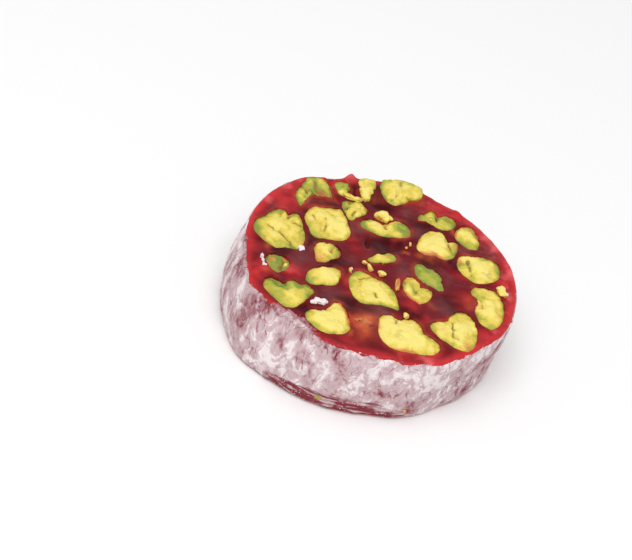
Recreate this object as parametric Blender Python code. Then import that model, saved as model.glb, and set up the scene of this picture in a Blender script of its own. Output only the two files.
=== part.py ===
"""A slice cut across a round roll of turkish delight.

Red fruit jelly holds whole pistachio kernels, and the knife has gone through
jelly and kernels alike. The slice lies flat on its lower cut. The origin is on
that cut, near the middle of the slice, with +Z up towards the upper cut.
"""

import math
from dataclasses import dataclass

import bmesh
import bpy
from mathutils import Vector, noise

MM = 0.001

# The slice. Each rim is given by its radii, counter-clockwise from +X in equal steps.
SLICE_THICKNESS = 14.2 * MM
UPPER_RIM_MM = (
    25.3, 25.5, 25.5, 25.2, 25.0, 24.8, 25.2, 24.5,
    23.9, 25.4, 25.1, 24.6, 24.3, 24.0, 24.9, 25.4,
    24.1, 25.0, 24.8, 24.5, 26.2, 25.4, 25.1, 25.6,
)
LOWER_RIM_MM = (
    24.3, 24.6, 24.6, 24.3, 24.1, 24.0, 24.4, 24.2,
    24.0, 25.3, 25.6, 25.6, 25.8, 25.9, 25.9, 26.9,
    26.0, 25.6, 25.0, 24.3, 24.3, 23.5, 23.8, 24.1,
)
SIDE_SEGMENTS = 68
SIDE_HEIGHT_SHARES = (0.30, 0.52, 0.74)
SIDE_BULGE = 0.6 * MM
SIDE_BULGE_SWING = 0.5 * MM
SIDE_BULGE_DIRECTION = math.radians(185)
SIDE_RELIEF = 0.25 * MM
SIDE_RELIEF_SPACING = 7.0 * MM

# Rounded edges of the two cuts, as distances in from the cut and in from the side
UPPER_EDGE_MM = ((0.0, 0.75), (0.25, 0.25), (0.9, 0.0))
LOWER_EDGE_MM = ((0.0, 0.9), (0.3, 0.35), (1.1, 0.0))

# Kernels. Their rings are given by a share of the reach and a share of a height or a depth.
KERNEL_PROUD_MM = 0.4
KERNEL_SHOULDER = 0.4 * MM
KERNEL_CROWN = ((0.0, 1.0), (0.62, 0.95), (0.92, 0.55))
BLIND_BOWL = ((0.93, 0.5), (0.64, 0.85), (0.0, 1.0))
THROUGH_WAIST_SHARE = 0.95
THROUGH_END_SHARE = 0.86
THROUGH_FLAT_SHARE = 0.76
KERNEL_RELIEF = 0.15 * MM
KERNEL_RELIEF_SPACING = 2.5 * MM
KERNEL_CHIP_SHARE = 0.05
KERNEL_CHIP_SPACING = 0.4
UPPER_KERNEL_SEGMENTS = 16
LOWER_KERNEL_SEGMENTS = 12
UNDERSIDE_RECESS = 0.15 * MM
POCKET_GAP = 0.3 * MM
POCKET_GAP_SHARES = (0.0, 0.6, 1.0)
CUT_OVERRUN = 3.0 * MM

# Hollows in the upper cut are the lower caps of flattened spheres
HOLLOW_SEGMENTS = 14
HOLLOW_RINGS = 10
HOLLOW_CAP_SHARE = 0.4

JELLY_COLOUR = (0.36, 0.012, 0.03, 1.0)
JELLY_ROUGHNESS = 0.22
SKIN_COLOURS = {
    "yellow": (0.86, 0.73, 0.20, 1.0),
    "olive": (0.64, 0.58, 0.11, 1.0),
    "green": (0.28, 0.36, 0.07, 1.0),
}
SKIN_ROUGHNESS = 0.5


@dataclass(frozen=True)
class Kernel:
    """A pistachio kernel, seen from above, with its sizes in millimetres and degrees.

    at is its middle at its shown end. reach holds the distances from there to
    its edge, counter-clockwise in eight equal steps from the direction of turn.
    depth is how far it goes into the jelly, or None where it runs through to
    the other cut. lean and twist are how far its far end lies to the side and
    is turned, and tip is how much it rises towards the back for each millimetre.
    """

    at: tuple
    reach: tuple
    turn: float = 0.0
    depth: float | None = None
    lean: tuple = (0.0, 0.0)
    twist: float = 0.0
    proud: float = KERNEL_PROUD_MM
    tip: float = 0.0
    skin: str = "yellow"


@dataclass(frozen=True)
class Hollow:
    """A flat hollow in the upper cut, with its sizes in millimetres and degrees."""

    at: tuple
    length: float
    width: float
    turn: float
    depth: float


UPPER_KERNELS = (
    Kernel((-15.4, 14.3), (3.2, 3.3, 3.3, 2.6, 2.5, 3.2, 5.4, 1.4), depth=5.0, lean=(1.5, -1.5),
           proud=0.6, skin="olive"),
    Kernel((-10.8, 17.2), (1.3, 1.8, 1.8, 1.8, 1.3, 1.4, 1.6, 2.5), depth=4.0, lean=(0.8, -1.0),
           skin="green"),
    Kernel((-7.0, 19.2), (1.6, 2.6, 2.7, 2.2, 1.4, 1.6, 3.0, 1.8), depth=5.0, lean=(0.5, -1.5),
           proud=0.9, tip=0.1),
    Kernel((-0.7, 20.5), (3.9, 3.9, 3.7, 3.4, 3.5, 3.4, 3.1, 3.2), depth=6.0, lean=(0.5, -2.0),
           proud=1.2, tip=0.2, skin="olive"),
    Kernel((-7.7, 12.8), (2.2, 2.3, 2.2, 2.1, 2.0, 2.1, 3.0, 2.2), depth=4.5, skin="olive"),
    Kernel((-18.6, 1.0), (4.6, 4.3, 4.8, 4.6, 4.2, 4.2, 5.1, 5.7), lean=(1.2, -1.4), twist=18,
           skin="olive"),
    Kernel((-11.1, 6.4), (4.3, 3.8, 4.6, 4.5, 3.7, 3.9, 4.7, 4.8), lean=(-0.6, 1.4), twist=-15),
    Kernel((-10.1, -1.4), (2.5, 2.7, 2.0, 1.9, 1.5, 2.0, 3.9, 2.2), depth=4.5),
    Kernel((-1.0, 10.6), (4.6, 3.9, 1.8, 2.1, 4.8, 3.6, 2.6, 3.0), lean=(-0.8, 1.2), twist=24),
    Kernel((7.7, 17.7), (3.5, 1.7, 2.5, 3.0, 4.1, 2.2, 2.4, 3.1), turn=28, depth=4.5, lean=(0.0, -1.5),
           proud=0.3, skin="green"),
    Kernel((13.8, 15.7), (3.8, 2.0, 1.8, 2.5, 2.6, 2.5, 1.9, 2.2), turn=-58, depth=5.0,
           lean=(-1.0, -1.0), skin="olive"),
    Kernel((8.9, 10.5), (3.5, 3.3, 3.8, 3.7, 3.4, 4.2, 3.5, 3.5), lean=(0.6, -1.0), twist=-20),
    Kernel((17.2, 7.6), (4.2, 4.2, 3.8, 3.5, 3.7, 3.8, 4.1, 3.9), lean=(-0.4, 1.0), twist=15,
           skin="olive"),
    Kernel((0.0, 1.6), (3.3, 1.9, 1.2, 1.4, 3.5, 1.2, 1.3, 1.9), turn=35, depth=3.0, proud=0.3),
    Kernel((9.1, 1.1), (4.2, 2.0, 1.8, 2.1, 3.6, 2.1, 1.6, 1.6), turn=-42, depth=3.0, proud=0.5,
           skin="green"),
    Kernel((7.6, -4.4), (2.7, 2.0, 2.0, 3.0, 2.7, 2.5, 3.2, 3.2), depth=4.5, proud=0.2, skin="olive"),
    Kernel((20.5, -2.0), (2.7, 3.1, 4.7, 4.6, 1.9, 2.6, 4.9, 3.8), lean=(-2.2, 0.6), twist=-10),
    Kernel((0.3, -7.5), (6.1, 4.2, 4.1, 4.4, 4.9, 4.3, 4.6, 3.9), turn=-30, lean=(1.2, -0.8), twist=20),
    Kernel((-8.5, -8.3), (3.8, 2.7, 2.3, 2.6, 3.3, 2.1, 2.3, 2.7), turn=55, depth=5.0),
    Kernel((-13.5, -15.3), (3.6, 4.8, 2.6, 3.2, 3.7, 3.0, 3.3, 3.5), lean=(-0.6, 1.0), twist=-25,
           skin="olive"),
    Kernel((-16.8, -8.8), (2.4, 2.5, 2.5, 2.6, 2.4, 2.4, 2.7, 2.5), depth=4.0, lean=(1.0, 0.5),
           proud=0.3, skin="green"),
    Kernel((-5.2, -18.6), (3.8, 3.3, 4.8, 2.8, 3.8, 3.9, 3.9, 3.9), lean=(-0.6, 0.8), twist=20),
    Kernel((1.2, -17.2), (1.5, 2.0, 2.6, 2.3, 1.8, 2.2, 2.6, 2.0), depth=4.0, lean=(0.0, 1.0), proud=0.1),
    Kernel((8.1, -16.5), (6.2, 4.2, 4.5, 5.0, 4.3, 4.6, 4.4, 4.6), turn=-8, lean=(-0.8, 1.4), twist=-18),
    Kernel((16.4, -11.0), (3.2, 3.6, 5.2, 3.0, 4.8, 4.4, 4.2, 3.8), turn=10, lean=(-1.2, 1.4), twist=22),
)

LOWER_KERNELS = (
    Kernel((-17.6, 11.2), (3.2, 2.7, 3.0, 2.4, 2.7, 2.8, 2.4, 2.6), turn=60, depth=4.6, skin="olive"),
    Kernel((-9.2, 16.9), (4.1, 2.8, 2.6, 3.0, 3.7, 2.4, 2.8, 3.1), turn=25, depth=4.4),
    Kernel((0.6, 19.2), (3.6, 3.1, 2.7, 3.4, 4.2, 3.0, 2.5, 3.2), turn=-10, depth=4.2, skin="green"),
    Kernel((9.0, 17.4), (3.2, 3.5, 2.5, 2.9, 3.3, 2.4, 3.0, 2.6), turn=-35, depth=4.6),
    Kernel((4.3, 14.3), (2.0, 1.8, 2.4, 2.0, 2.3, 2.1, 1.9, 1.7), turn=15, depth=3.2, skin="green"),
    Kernel((4.9, 3.6), (3.7, 2.6, 2.3, 2.8, 3.3, 2.2, 2.6, 2.4), turn=-55, depth=4.6),
    Kernel((13.0, -1.8), (2.6, 3.0, 3.6, 2.4, 2.7, 3.1, 3.4, 2.5), turn=20, depth=4.8, skin="olive"),
    Kernel((-9.6, -2.6), (3.4, 2.4, 2.9, 2.2, 3.6, 2.7, 2.5, 2.9), turn=62, depth=4.4, skin="olive"),
    Kernel((-16.4, -7.6), (2.7, 3.1, 2.3, 2.8, 2.5, 2.9, 2.4, 2.2), turn=5, depth=4.6),
    Kernel((-8.2, -10.4), (3.0, 2.5, 3.3, 2.7, 2.4, 2.9, 2.6, 3.1), turn=-20, depth=4.2, skin="green"),
    Kernel((1.0, -18.4), (2.0, 2.6, 3.1, 2.1, 1.8, 2.4, 2.9, 2.2), turn=10, depth=4.4, skin="olive"),
    Kernel((9.7, -7.0), (2.3, 1.9, 2.5, 2.1, 2.6, 2.0, 2.4, 1.8), turn=35, depth=3.6),
    Kernel((-3.9, 3.9), (3.0, 2.3, 2.6, 2.1, 2.8, 2.4, 2.2, 2.5), turn=130, depth=4.2),
)

FACE_HOLLOWS = (
    Hollow((1.1, 6.1), length=4.4, width=2.6, turn=5.0, depth=0.5),
    Hollow((-3.2, 5.0), length=1.4, width=3.0, turn=5.0, depth=0.8),
    Hollow((12.2, 4.0), length=3.2, width=1.8, turn=-25.0, depth=0.4),
    Hollow((4.6, -9.9), length=1.6, width=1.2, turn=0.0, depth=0.4),
)


def clear_scene():
    """Remove the scene's objects."""
    for item in list(bpy.data.objects):
        bpy.data.objects.remove(item, do_unlink=True)


def new_collection(name):
    """Make a collection in the scene."""
    collection = bpy.data.collections.new(name)
    bpy.context.scene.collection.children.link(collection)
    return collection


def principled(name, colour, roughness):
    """Make a material with one Principled BSDF."""
    material = bpy.data.materials.new(name)
    material.use_nodes = True
    shader = material.node_tree.nodes["Principled BSDF"]
    shader.inputs["Base Color"].default_value = colour
    shader.inputs["Roughness"].default_value = roughness
    shader.inputs["Metallic"].default_value = 0.0
    material.diffuse_color = colour
    return material


def add_object(name, shape, collection, material=None):
    """Turn a bmesh into a smooth-shaded object of a collection."""
    mesh = bpy.data.meshes.new(name)
    shape.to_mesh(mesh)
    shape.free()
    mesh.shade_smooth()
    if material:
        mesh.materials.append(material)
    item = bpy.data.objects.new(name, mesh)
    collection.objects.link(item)
    return item


def add_cutter(name, shape, cutters):
    """Make a hidden object that only cuts."""
    cutter = add_object(name, shape, cutters)
    cutter.hide_render = True
    cutter.display_type = "WIRE"


def on_closed_curve(values, turns):
    """Read a smooth closed curve, through evenly spaced values, at a share of a full turn."""
    place = turns * len(values)
    index = math.floor(place)
    share = place - index
    before, here, after, beyond = (values[(index + step) % len(values)] for step in (-1, 0, 1, 2))
    slope_here = (after - before) / 2
    slope_after = (beyond - here) / 2
    rise = after - here
    square = 3 * rise - 2 * slope_here - slope_after
    cube = slope_here + slope_after - 2 * rise
    return here + share * (slope_here + share * (square + share * cube))


def side_point(angle, height, inset):
    """Find a point of the slice's side, which is convex and passes from the lower rim to the upper one."""
    turns = angle / math.tau
    share = height / SLICE_THICKNESS
    mid_height = 4 * share * (1 - share)
    upper = on_closed_curve(UPPER_RIM_MM, turns) * MM
    lower = on_closed_curve(LOWER_RIM_MM, turns) * MM
    bulge = SIDE_BULGE + SIDE_BULGE_SWING * math.cos(angle - SIDE_BULGE_DIRECTION)
    radius = lower + (upper - lower) * share + bulge * mid_height
    place = Vector((radius * math.cos(angle), radius * math.sin(angle), height))
    radius += SIDE_RELIEF * noise.noise(place / SIDE_RELIEF_SPACING) * mid_height
    radius -= inset
    return Vector((radius * math.cos(angle), radius * math.sin(angle), height))


def slab_stations():
    """List the heights and insets of the rings of the slice's side, from the lower cut up."""
    lower_edge = [(height * MM, inset * MM) for height, inset in LOWER_EDGE_MM]
    middle = [(share * SLICE_THICKNESS, 0.0) for share in SIDE_HEIGHT_SHARES]
    upper_edge = [(SLICE_THICKNESS - depth * MM, inset * MM) for depth, inset in reversed(UPPER_EDGE_MM)]
    return lower_edge + middle + upper_edge


def slab_shape():
    """Loft the slice from ring to ring and close it with the two cuts."""
    shape = bmesh.new()
    rings = []
    for height, inset in slab_stations():
        angles = (math.tau * step / SIDE_SEGMENTS for step in range(SIDE_SEGMENTS))
        ring = [shape.verts.new(side_point(angle, height, inset)) for angle in angles]
        for step, vertex in enumerate(ring):
            shape.edges.new((vertex, ring[(step + 1) % SIDE_SEGMENTS]))
        rings.append(ring)
    bmesh.ops.bridge_loops(shape, edges=shape.edges)
    shape.faces.new(rings[0])
    shape.faces.new(rings[-1])
    bmesh.ops.recalc_face_normals(shape, faces=shape.faces)
    return shape


def kernel_stations(kernel, from_above):
    """List a kernel's rings from its shown end inwards, as a share of its reach and a depth."""
    proud = kernel.proud * MM if from_above else -UNDERSIDE_RECESS
    stations = [(share, -proud * height) for share, height in KERNEL_CROWN]
    stations.append((1.0, KERNEL_SHOULDER))
    if kernel.depth is None:
        stations += [
            (THROUGH_WAIST_SHARE, 0.5 * SLICE_THICKNESS),
            (THROUGH_END_SHARE, SLICE_THICKNESS - KERNEL_SHOULDER),
            (THROUGH_FLAT_SHARE, SLICE_THICKNESS - UNDERSIDE_RECESS),
            (0.0, SLICE_THICKNESS - UNDERSIDE_RECESS),
        ]
    else:
        stations += [(share, depth * kernel.depth * MM) for share, depth in BLIND_BOWL]
    return stations


def pocket_stations(kernel):
    """List the rings of a kernel's pocket, which runs out of the cut and follows the kernel inside."""
    stations = [(0.0, -CUT_OVERRUN), (1.0, -CUT_OVERRUN), (1.0, KERNEL_SHOULDER)]
    if kernel.depth is None:
        stations += [
            (THROUGH_WAIST_SHARE, 0.5 * SLICE_THICKNESS),
            (THROUGH_END_SHARE, SLICE_THICKNESS - KERNEL_SHOULDER),
            (THROUGH_END_SHARE, SLICE_THICKNESS + CUT_OVERRUN),
            (0.0, SLICE_THICKNESS + CUT_OVERRUN),
        ]
    else:
        for (share, depth), gap_share in zip(BLIND_BOWL, POCKET_GAP_SHARES):
            stations.append((share, depth * kernel.depth * MM + gap_share * POCKET_GAP))
    return stations


def kernel_point(kernel, seed_place, angle, share, depth, grow):
    """Find a point on a kernel's ring, or on its pocket's ring where it is grown by the gap."""
    sunk = max(0.0, min(1.0, depth / SLICE_THICKNESS))
    direction = Vector((math.cos(angle), math.sin(angle), 0.0))
    chip = KERNEL_CHIP_SHARE * noise.noise(direction / KERNEL_CHIP_SPACING + seed_place)
    reach = on_closed_curve(kernel.reach, angle / math.tau) * MM * (1 + chip)
    radius = share * reach + (grow if share else 0.0)
    turned = angle + math.radians(kernel.turn + kernel.twist * sunk)
    x = (kernel.at[0] + kernel.lean[0] * sunk) * MM + radius * math.cos(turned)
    y = (kernel.at[1] + kernel.lean[1] * sunk) * MM + radius * math.sin(turned)
    if not grow and depth < 0:
        relief_place = Vector((x, y, 0.0)) / KERNEL_RELIEF_SPACING
        depth -= KERNEL_RELIEF * noise.noise(relief_place + seed_place)
        depth -= kernel.tip * (y - kernel.at[1] * MM)
    return Vector((x, y, -depth))


def kernel_shape(kernel, stations, number, from_above, grow=0.0):
    """Draw a sphere's rings out to a kernel's reach in each direction and to its depth at each station."""
    shape = bmesh.new()
    last = len(stations) - 1
    segments = UPPER_KERNEL_SEGMENTS if from_above else LOWER_KERNEL_SEGMENTS
    bmesh.ops.create_uvsphere(shape, u_segments=segments, v_segments=last, radius=1.0)
    seed_place = Vector((37.0 * number, 11.0, 5.0))
    for vertex in shape.verts:
        from_pole = math.acos(max(-1.0, min(1.0, vertex.co.z)))
        share, depth = stations[round(from_pole / math.pi * last)]
        angle = math.atan2(vertex.co.y, vertex.co.x) if share else 0.0
        vertex.co = kernel_point(kernel, seed_place, angle, share, depth, grow)
        if from_above:
            vertex.co.z += SLICE_THICKNESS
        else:
            vertex.co.z *= -1
    if not from_above:
        bmesh.ops.reverse_faces(shape, faces=shape.faces)
    return shape


def hollow_shape(hollow):
    """Flatten a sphere so that its lower cap sinks into the upper cut."""
    shape = bmesh.new()
    bmesh.ops.create_uvsphere(shape, u_segments=HOLLOW_SEGMENTS, v_segments=HOLLOW_RINGS, radius=1.0)
    cap_radius = math.sqrt(1 - (1 - HOLLOW_CAP_SHARE) ** 2)
    angle = math.radians(hollow.turn)
    for vertex in shape.verts:
        along = vertex.co.x * hollow.length / 2 / cap_radius
        across = vertex.co.y * hollow.width / 2 / cap_radius
        x = hollow.at[0] + along * math.cos(angle) - across * math.sin(angle)
        y = hollow.at[1] + along * math.sin(angle) + across * math.cos(angle)
        z = (vertex.co.z + 1 - HOLLOW_CAP_SHARE) * hollow.depth / HOLLOW_CAP_SHARE
        vertex.co = Vector((x, y, z)) * MM + Vector((0.0, 0.0, SLICE_THICKNESS))
    return shape


def add_kernels(kernels, first_number, from_above, parts, cutters, skins):
    """Make each kernel of one cut and the cutter of its pocket."""
    for number, kernel in enumerate(kernels, first_number):
        body = kernel_shape(kernel, kernel_stations(kernel, from_above), number, from_above)
        add_object(f"pistachio_{number:02d}", body, parts, skins[kernel.skin])
        pocket = kernel_shape(kernel, pocket_stations(kernel), number, from_above, POCKET_GAP)
        add_cutter(f"pocket_{number:02d}", pocket, cutters)


def add_jelly(parts, cutters):
    """Make the slice's jelly, with a pocket for each kernel."""
    delight = add_object("delight", slab_shape(), parts, principled("jelly", JELLY_COLOUR, JELLY_ROUGHNESS))
    pockets = delight.modifiers.new("pockets", "BOOLEAN")
    pockets.operation = "DIFFERENCE"
    pockets.operand_type = "COLLECTION"
    pockets.collection = cutters
    pockets.solver = "EXACT"


def main():
    """Build the slice."""
    clear_scene()
    parts = new_collection("turkish_delight")
    cutters = new_collection("cutters")
    skins = {}
    for skin, colour in SKIN_COLOURS.items():
        skins[skin] = principled(f"pistachio_{skin}", colour, SKIN_ROUGHNESS)
    add_kernels(UPPER_KERNELS, 1, True, parts, cutters, skins)
    add_kernels(LOWER_KERNELS, len(UPPER_KERNELS) + 1, False, parts, cutters, skins)
    for number, hollow in enumerate(FACE_HOLLOWS, 1):
        add_cutter(f"hollow_{number}", hollow_shape(hollow), cutters)
    add_jelly(parts, cutters)


main()
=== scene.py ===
"""Dresses a slice of turkish delight: red jelly, pistachio kernels, sugar powder and crumbs.

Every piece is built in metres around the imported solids, which give the slice's
outline and the place and form of each kernel.
"""

import logging
import math
from dataclasses import dataclass, field
from enum import Enum

import bmesh
import bpy
import numpy as np
from mathutils import Matrix, Vector, geometry
from mathutils.bvhtree import BVHTree


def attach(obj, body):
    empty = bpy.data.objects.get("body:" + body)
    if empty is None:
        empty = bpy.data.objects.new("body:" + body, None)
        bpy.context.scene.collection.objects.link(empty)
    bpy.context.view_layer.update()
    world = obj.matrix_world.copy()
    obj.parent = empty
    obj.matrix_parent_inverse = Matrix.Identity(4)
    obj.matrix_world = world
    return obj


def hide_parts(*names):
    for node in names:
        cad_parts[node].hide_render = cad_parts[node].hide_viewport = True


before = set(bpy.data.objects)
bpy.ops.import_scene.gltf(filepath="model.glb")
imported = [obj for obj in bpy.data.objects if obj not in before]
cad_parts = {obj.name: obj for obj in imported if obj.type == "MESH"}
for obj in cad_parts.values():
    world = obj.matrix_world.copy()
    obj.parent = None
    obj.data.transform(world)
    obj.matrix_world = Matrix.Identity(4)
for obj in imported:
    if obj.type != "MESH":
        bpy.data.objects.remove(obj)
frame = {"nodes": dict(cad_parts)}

LOG = logging.getLogger("turkish_delight")
MM = 0.001
BODY = "root"
SLAB_NODE = "delight"
KERNEL_PREFIX = "pistachio_"

Array = np.ndarray
Mesh = bpy.types.Mesh
Object = bpy.types.Object
Material = bpy.types.Material
Colour = tuple[float, float, float]
Point2 = tuple[float, float]
Line = tuple[Point2, ...]


class Cut(Enum):
    """The cut of the slice at which a kernel shows."""

    UPPER = "upper"
    LOWER = "lower"
    BOTH = "both"


class FieldNoise:
    """A smooth random field in space, the same on each run."""

    CELLS = 32

    def __init__(self, seed: int) -> None:
        """Fill a repeating lattice with values from -1 to 1, from the start of a random draw."""
        draw = np.random.default_rng(seed)
        self._lattice = draw.uniform(-1.0, 1.0, (self.CELLS,) * 3)

    def at(self, points: Array, spacing: float) -> Array:
        """Read the field at some points.

        Args:
            points: Places in metres, one to a row.
            spacing: Distance between the field's bumps, in metres.

        Returns:
            One value for each point, from about -1 to 1.
        """
        scaled = points / spacing + 7.31
        low = np.floor(scaled).astype(int)
        share = scaled - low
        share = share * share * (3.0 - 2.0 * share)
        total = np.zeros(len(points))
        for corner in range(8):
            step = np.array([corner & 1, corner >> 1 & 1, corner >> 2])
            weight = np.where(step, share, 1.0 - share).prod(axis=1)
            x, y, z = ((low + step) % self.CELLS).T
            total += weight * self._lattice[x, y, z]
        return total

    def fractal(self, points: Array, spacing: float, octaves: int = 3) -> Array:
        """Add finer and weaker copies of the field.

        Args:
            points: Places in metres, one to a row.
            spacing: Spacing of the coarsest copy, in metres.
            octaves: How many copies are added.

        Returns:
            One value for each point, from about -1 to 1.
        """
        total = np.zeros(len(points))
        for octave in range(octaves):
            total += self.at(points + octave * 0.0137, spacing / 2**octave) / 2**octave
        return total

    def drift(self, points: Array, spacing: float, shifts: tuple[float, ...],
              octaves: int = 1) -> Array:
        """Read a copy of the field for each shift, to bend a pattern's places along the axes."""
        return np.column_stack([self.fractal(points + shift, spacing, octaves) for shift in shifts])


def smooth_step(values: Array, low: float, high: float) -> Array:
    """Pass smoothly from 0 at low to 1 at high."""
    share = np.clip((values - low) / (high - low), 0.0, 1.0)
    return share * share * (3.0 - 2.0 * share)


def bell(gaps: Array, reach: float, power: int = 2) -> Array:
    """Fall from 1 at no gap to a third at the reach, with a round top for power 2 and a flat one for 4."""
    return np.exp(-((gaps / reach) ** power))


def gap_from(points: Array, x: float, y: float) -> Array:
    """Find how far points seen from above lie from a place given in millimetres."""
    return np.hypot(*(points - np.array((x, y)) * MM).T)


def distance_to_line(points: Array, line: Line) -> Array:
    """Find how far points seen from above lie from a bent line.

    Args:
        points: Places in metres, of which x and y are read.
        line: Corners of the line, in millimetres.

    Returns:
        One distance in metres for each point.
    """
    nearest = np.full(len(points), np.inf)
    corners = np.array(line) * MM
    for start, end in zip(corners[:-1], corners[1:]):
        along = end - start
        share = np.clip((points[:, :2] - start) @ along / (along @ along), 0.0, 1.0)
        gap = points[:, :2] - start - share[:, None] * along
        nearest = np.minimum(nearest, np.hypot(gap[:, 0], gap[:, 1]))
    return nearest


def read_rows(items: bpy.types.bpy_prop_collection, key: str) -> Array:
    """Read a vector of each vertex.

    Args:
        items: The mesh's vertices or vertex normals.
        key: Name of the vector.

    Returns:
        The vectors, one to a row.
    """
    values = np.empty(len(items) * 3, np.float32)
    items.foreach_get(key, values)
    return values.reshape(-1, 3).astype(float)


def vertex_places(mesh: Mesh) -> Array:
    """Read a mesh's vertices, one to a row."""
    return read_rows(mesh.vertices, "co")


def vertex_normals(mesh: Mesh) -> Array:
    """Read a mesh's vertex normals, one to a row."""
    return read_rows(mesh.vertex_normals, "vector")


def move_vertices(mesh: Mesh, places: Array) -> None:
    """Put a mesh's vertices at new places, one to a row."""
    mesh.vertices.foreach_set("co", places.astype(np.float32).ravel())
    mesh.update()


def paint(mesh: Mesh, name: str, channels: tuple[Array, ...]) -> None:
    """Store three shares for each vertex as a colour attribute.

    Args:
        mesh: Mesh to paint.
        name: Name that the material reads.
        channels: The three shares, each with one value for each vertex.
    """
    layer = mesh.color_attributes.new(name, "FLOAT_COLOR", "POINT")
    values = np.ones((len(mesh.vertices), 4), np.float32)
    for index, channel in enumerate(channels):
        values[:, index] = np.clip(channel, 0.0, 1.0)
    layer.data.foreach_set("color", values.ravel())


def mesh_of(shape: bmesh.types.BMesh, name: str) -> Mesh:
    """Turn a shape under construction into a mesh, and free it.

    Args:
        shape: The shape, which can't be used afterwards.
        name: Name of the mesh.

    Returns:
        The mesh.
    """
    mesh = bpy.data.meshes.new(name)
    shape.to_mesh(mesh)
    shape.free()
    return mesh


def merged_copy(node: Object) -> Mesh:
    """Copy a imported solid's mesh and join its loose triangles.

    Args:
        node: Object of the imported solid.

    Returns:
        A closed mesh.
    """
    shape = bmesh.new()
    shape.from_mesh(node.data)
    bmesh.ops.remove_doubles(shape, verts=shape.verts, dist=1e-6)
    return mesh_of(shape, node.name + "_copy")


def add_object(name: str, mesh: Mesh) -> Object:
    """Put a mesh in the scene as a new object.

    Args:
        name: Name of the object.
        mesh: The mesh.

    Returns:
        The object.
    """
    piece = bpy.data.objects.new(name, mesh)
    bpy.context.scene.collection.objects.link(piece)
    return piece


def baked_mesh(piece: Object) -> Mesh:
    """Take the mesh that an object's modifiers give, and remove the object.

    Args:
        piece: Object with modifiers.

    Returns:
        The evaluated mesh.
    """
    graph = bpy.context.evaluated_depsgraph_get()
    mesh = bpy.data.meshes.new_from_object(piece.evaluated_get(graph))
    bpy.data.objects.remove(piece)
    return mesh


class Socket:
    """A node's output that takes part in sums."""

    def __init__(self, tree: bpy.types.NodeTree, output: bpy.types.NodeSocket) -> None:
        """Wrap an output of a tree that gets the nodes of each sum."""
        self.tree = tree
        self.output = output

    def _sum(self, operation: str, first: "Socket | float", second: "Socket | float") -> "Socket":
        """Add a Math node.

        Args:
            operation: Its operation.
            first: First value or output.
            second: Second value or output.

        Returns:
            The node's output.
        """
        node = self.tree.nodes.new("ShaderNodeMath")
        node.operation = operation
        for socket, value in zip(node.inputs, (first, second)):
            if isinstance(value, Socket):
                self.tree.links.new(value.output, socket)
            else:
                socket.default_value = value
        return Socket(self.tree, node.outputs[0])

    def __add__(self, other: "Socket | float") -> "Socket":
        """Add."""
        return self._sum("ADD", self, other)

    def __radd__(self, other: float) -> "Socket":
        """Add to a number."""
        return self._sum("ADD", other, self)

    def __sub__(self, other: "Socket | float") -> "Socket":
        """Subtract."""
        return self._sum("SUBTRACT", self, other)

    def __rsub__(self, other: float) -> "Socket":
        """Subtract from a number."""
        return self._sum("SUBTRACT", other, self)

    def __mul__(self, other: "Socket | float") -> "Socket":
        """Multiply."""
        return self._sum("MULTIPLY", self, other)

    def __rmul__(self, other: float) -> "Socket":
        """Multiply a number."""
        return self._sum("MULTIPLY", other, self)

    def __abs__(self) -> "Socket":
        """Drop the sign."""
        return self._sum("ABSOLUTE", self, 0.0)

    def limited(self) -> "Socket":
        """Keep the value from 0 to 1."""
        return self._sum("MINIMUM", self._sum("MAXIMUM", self, 0.0), 1.0)


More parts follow.
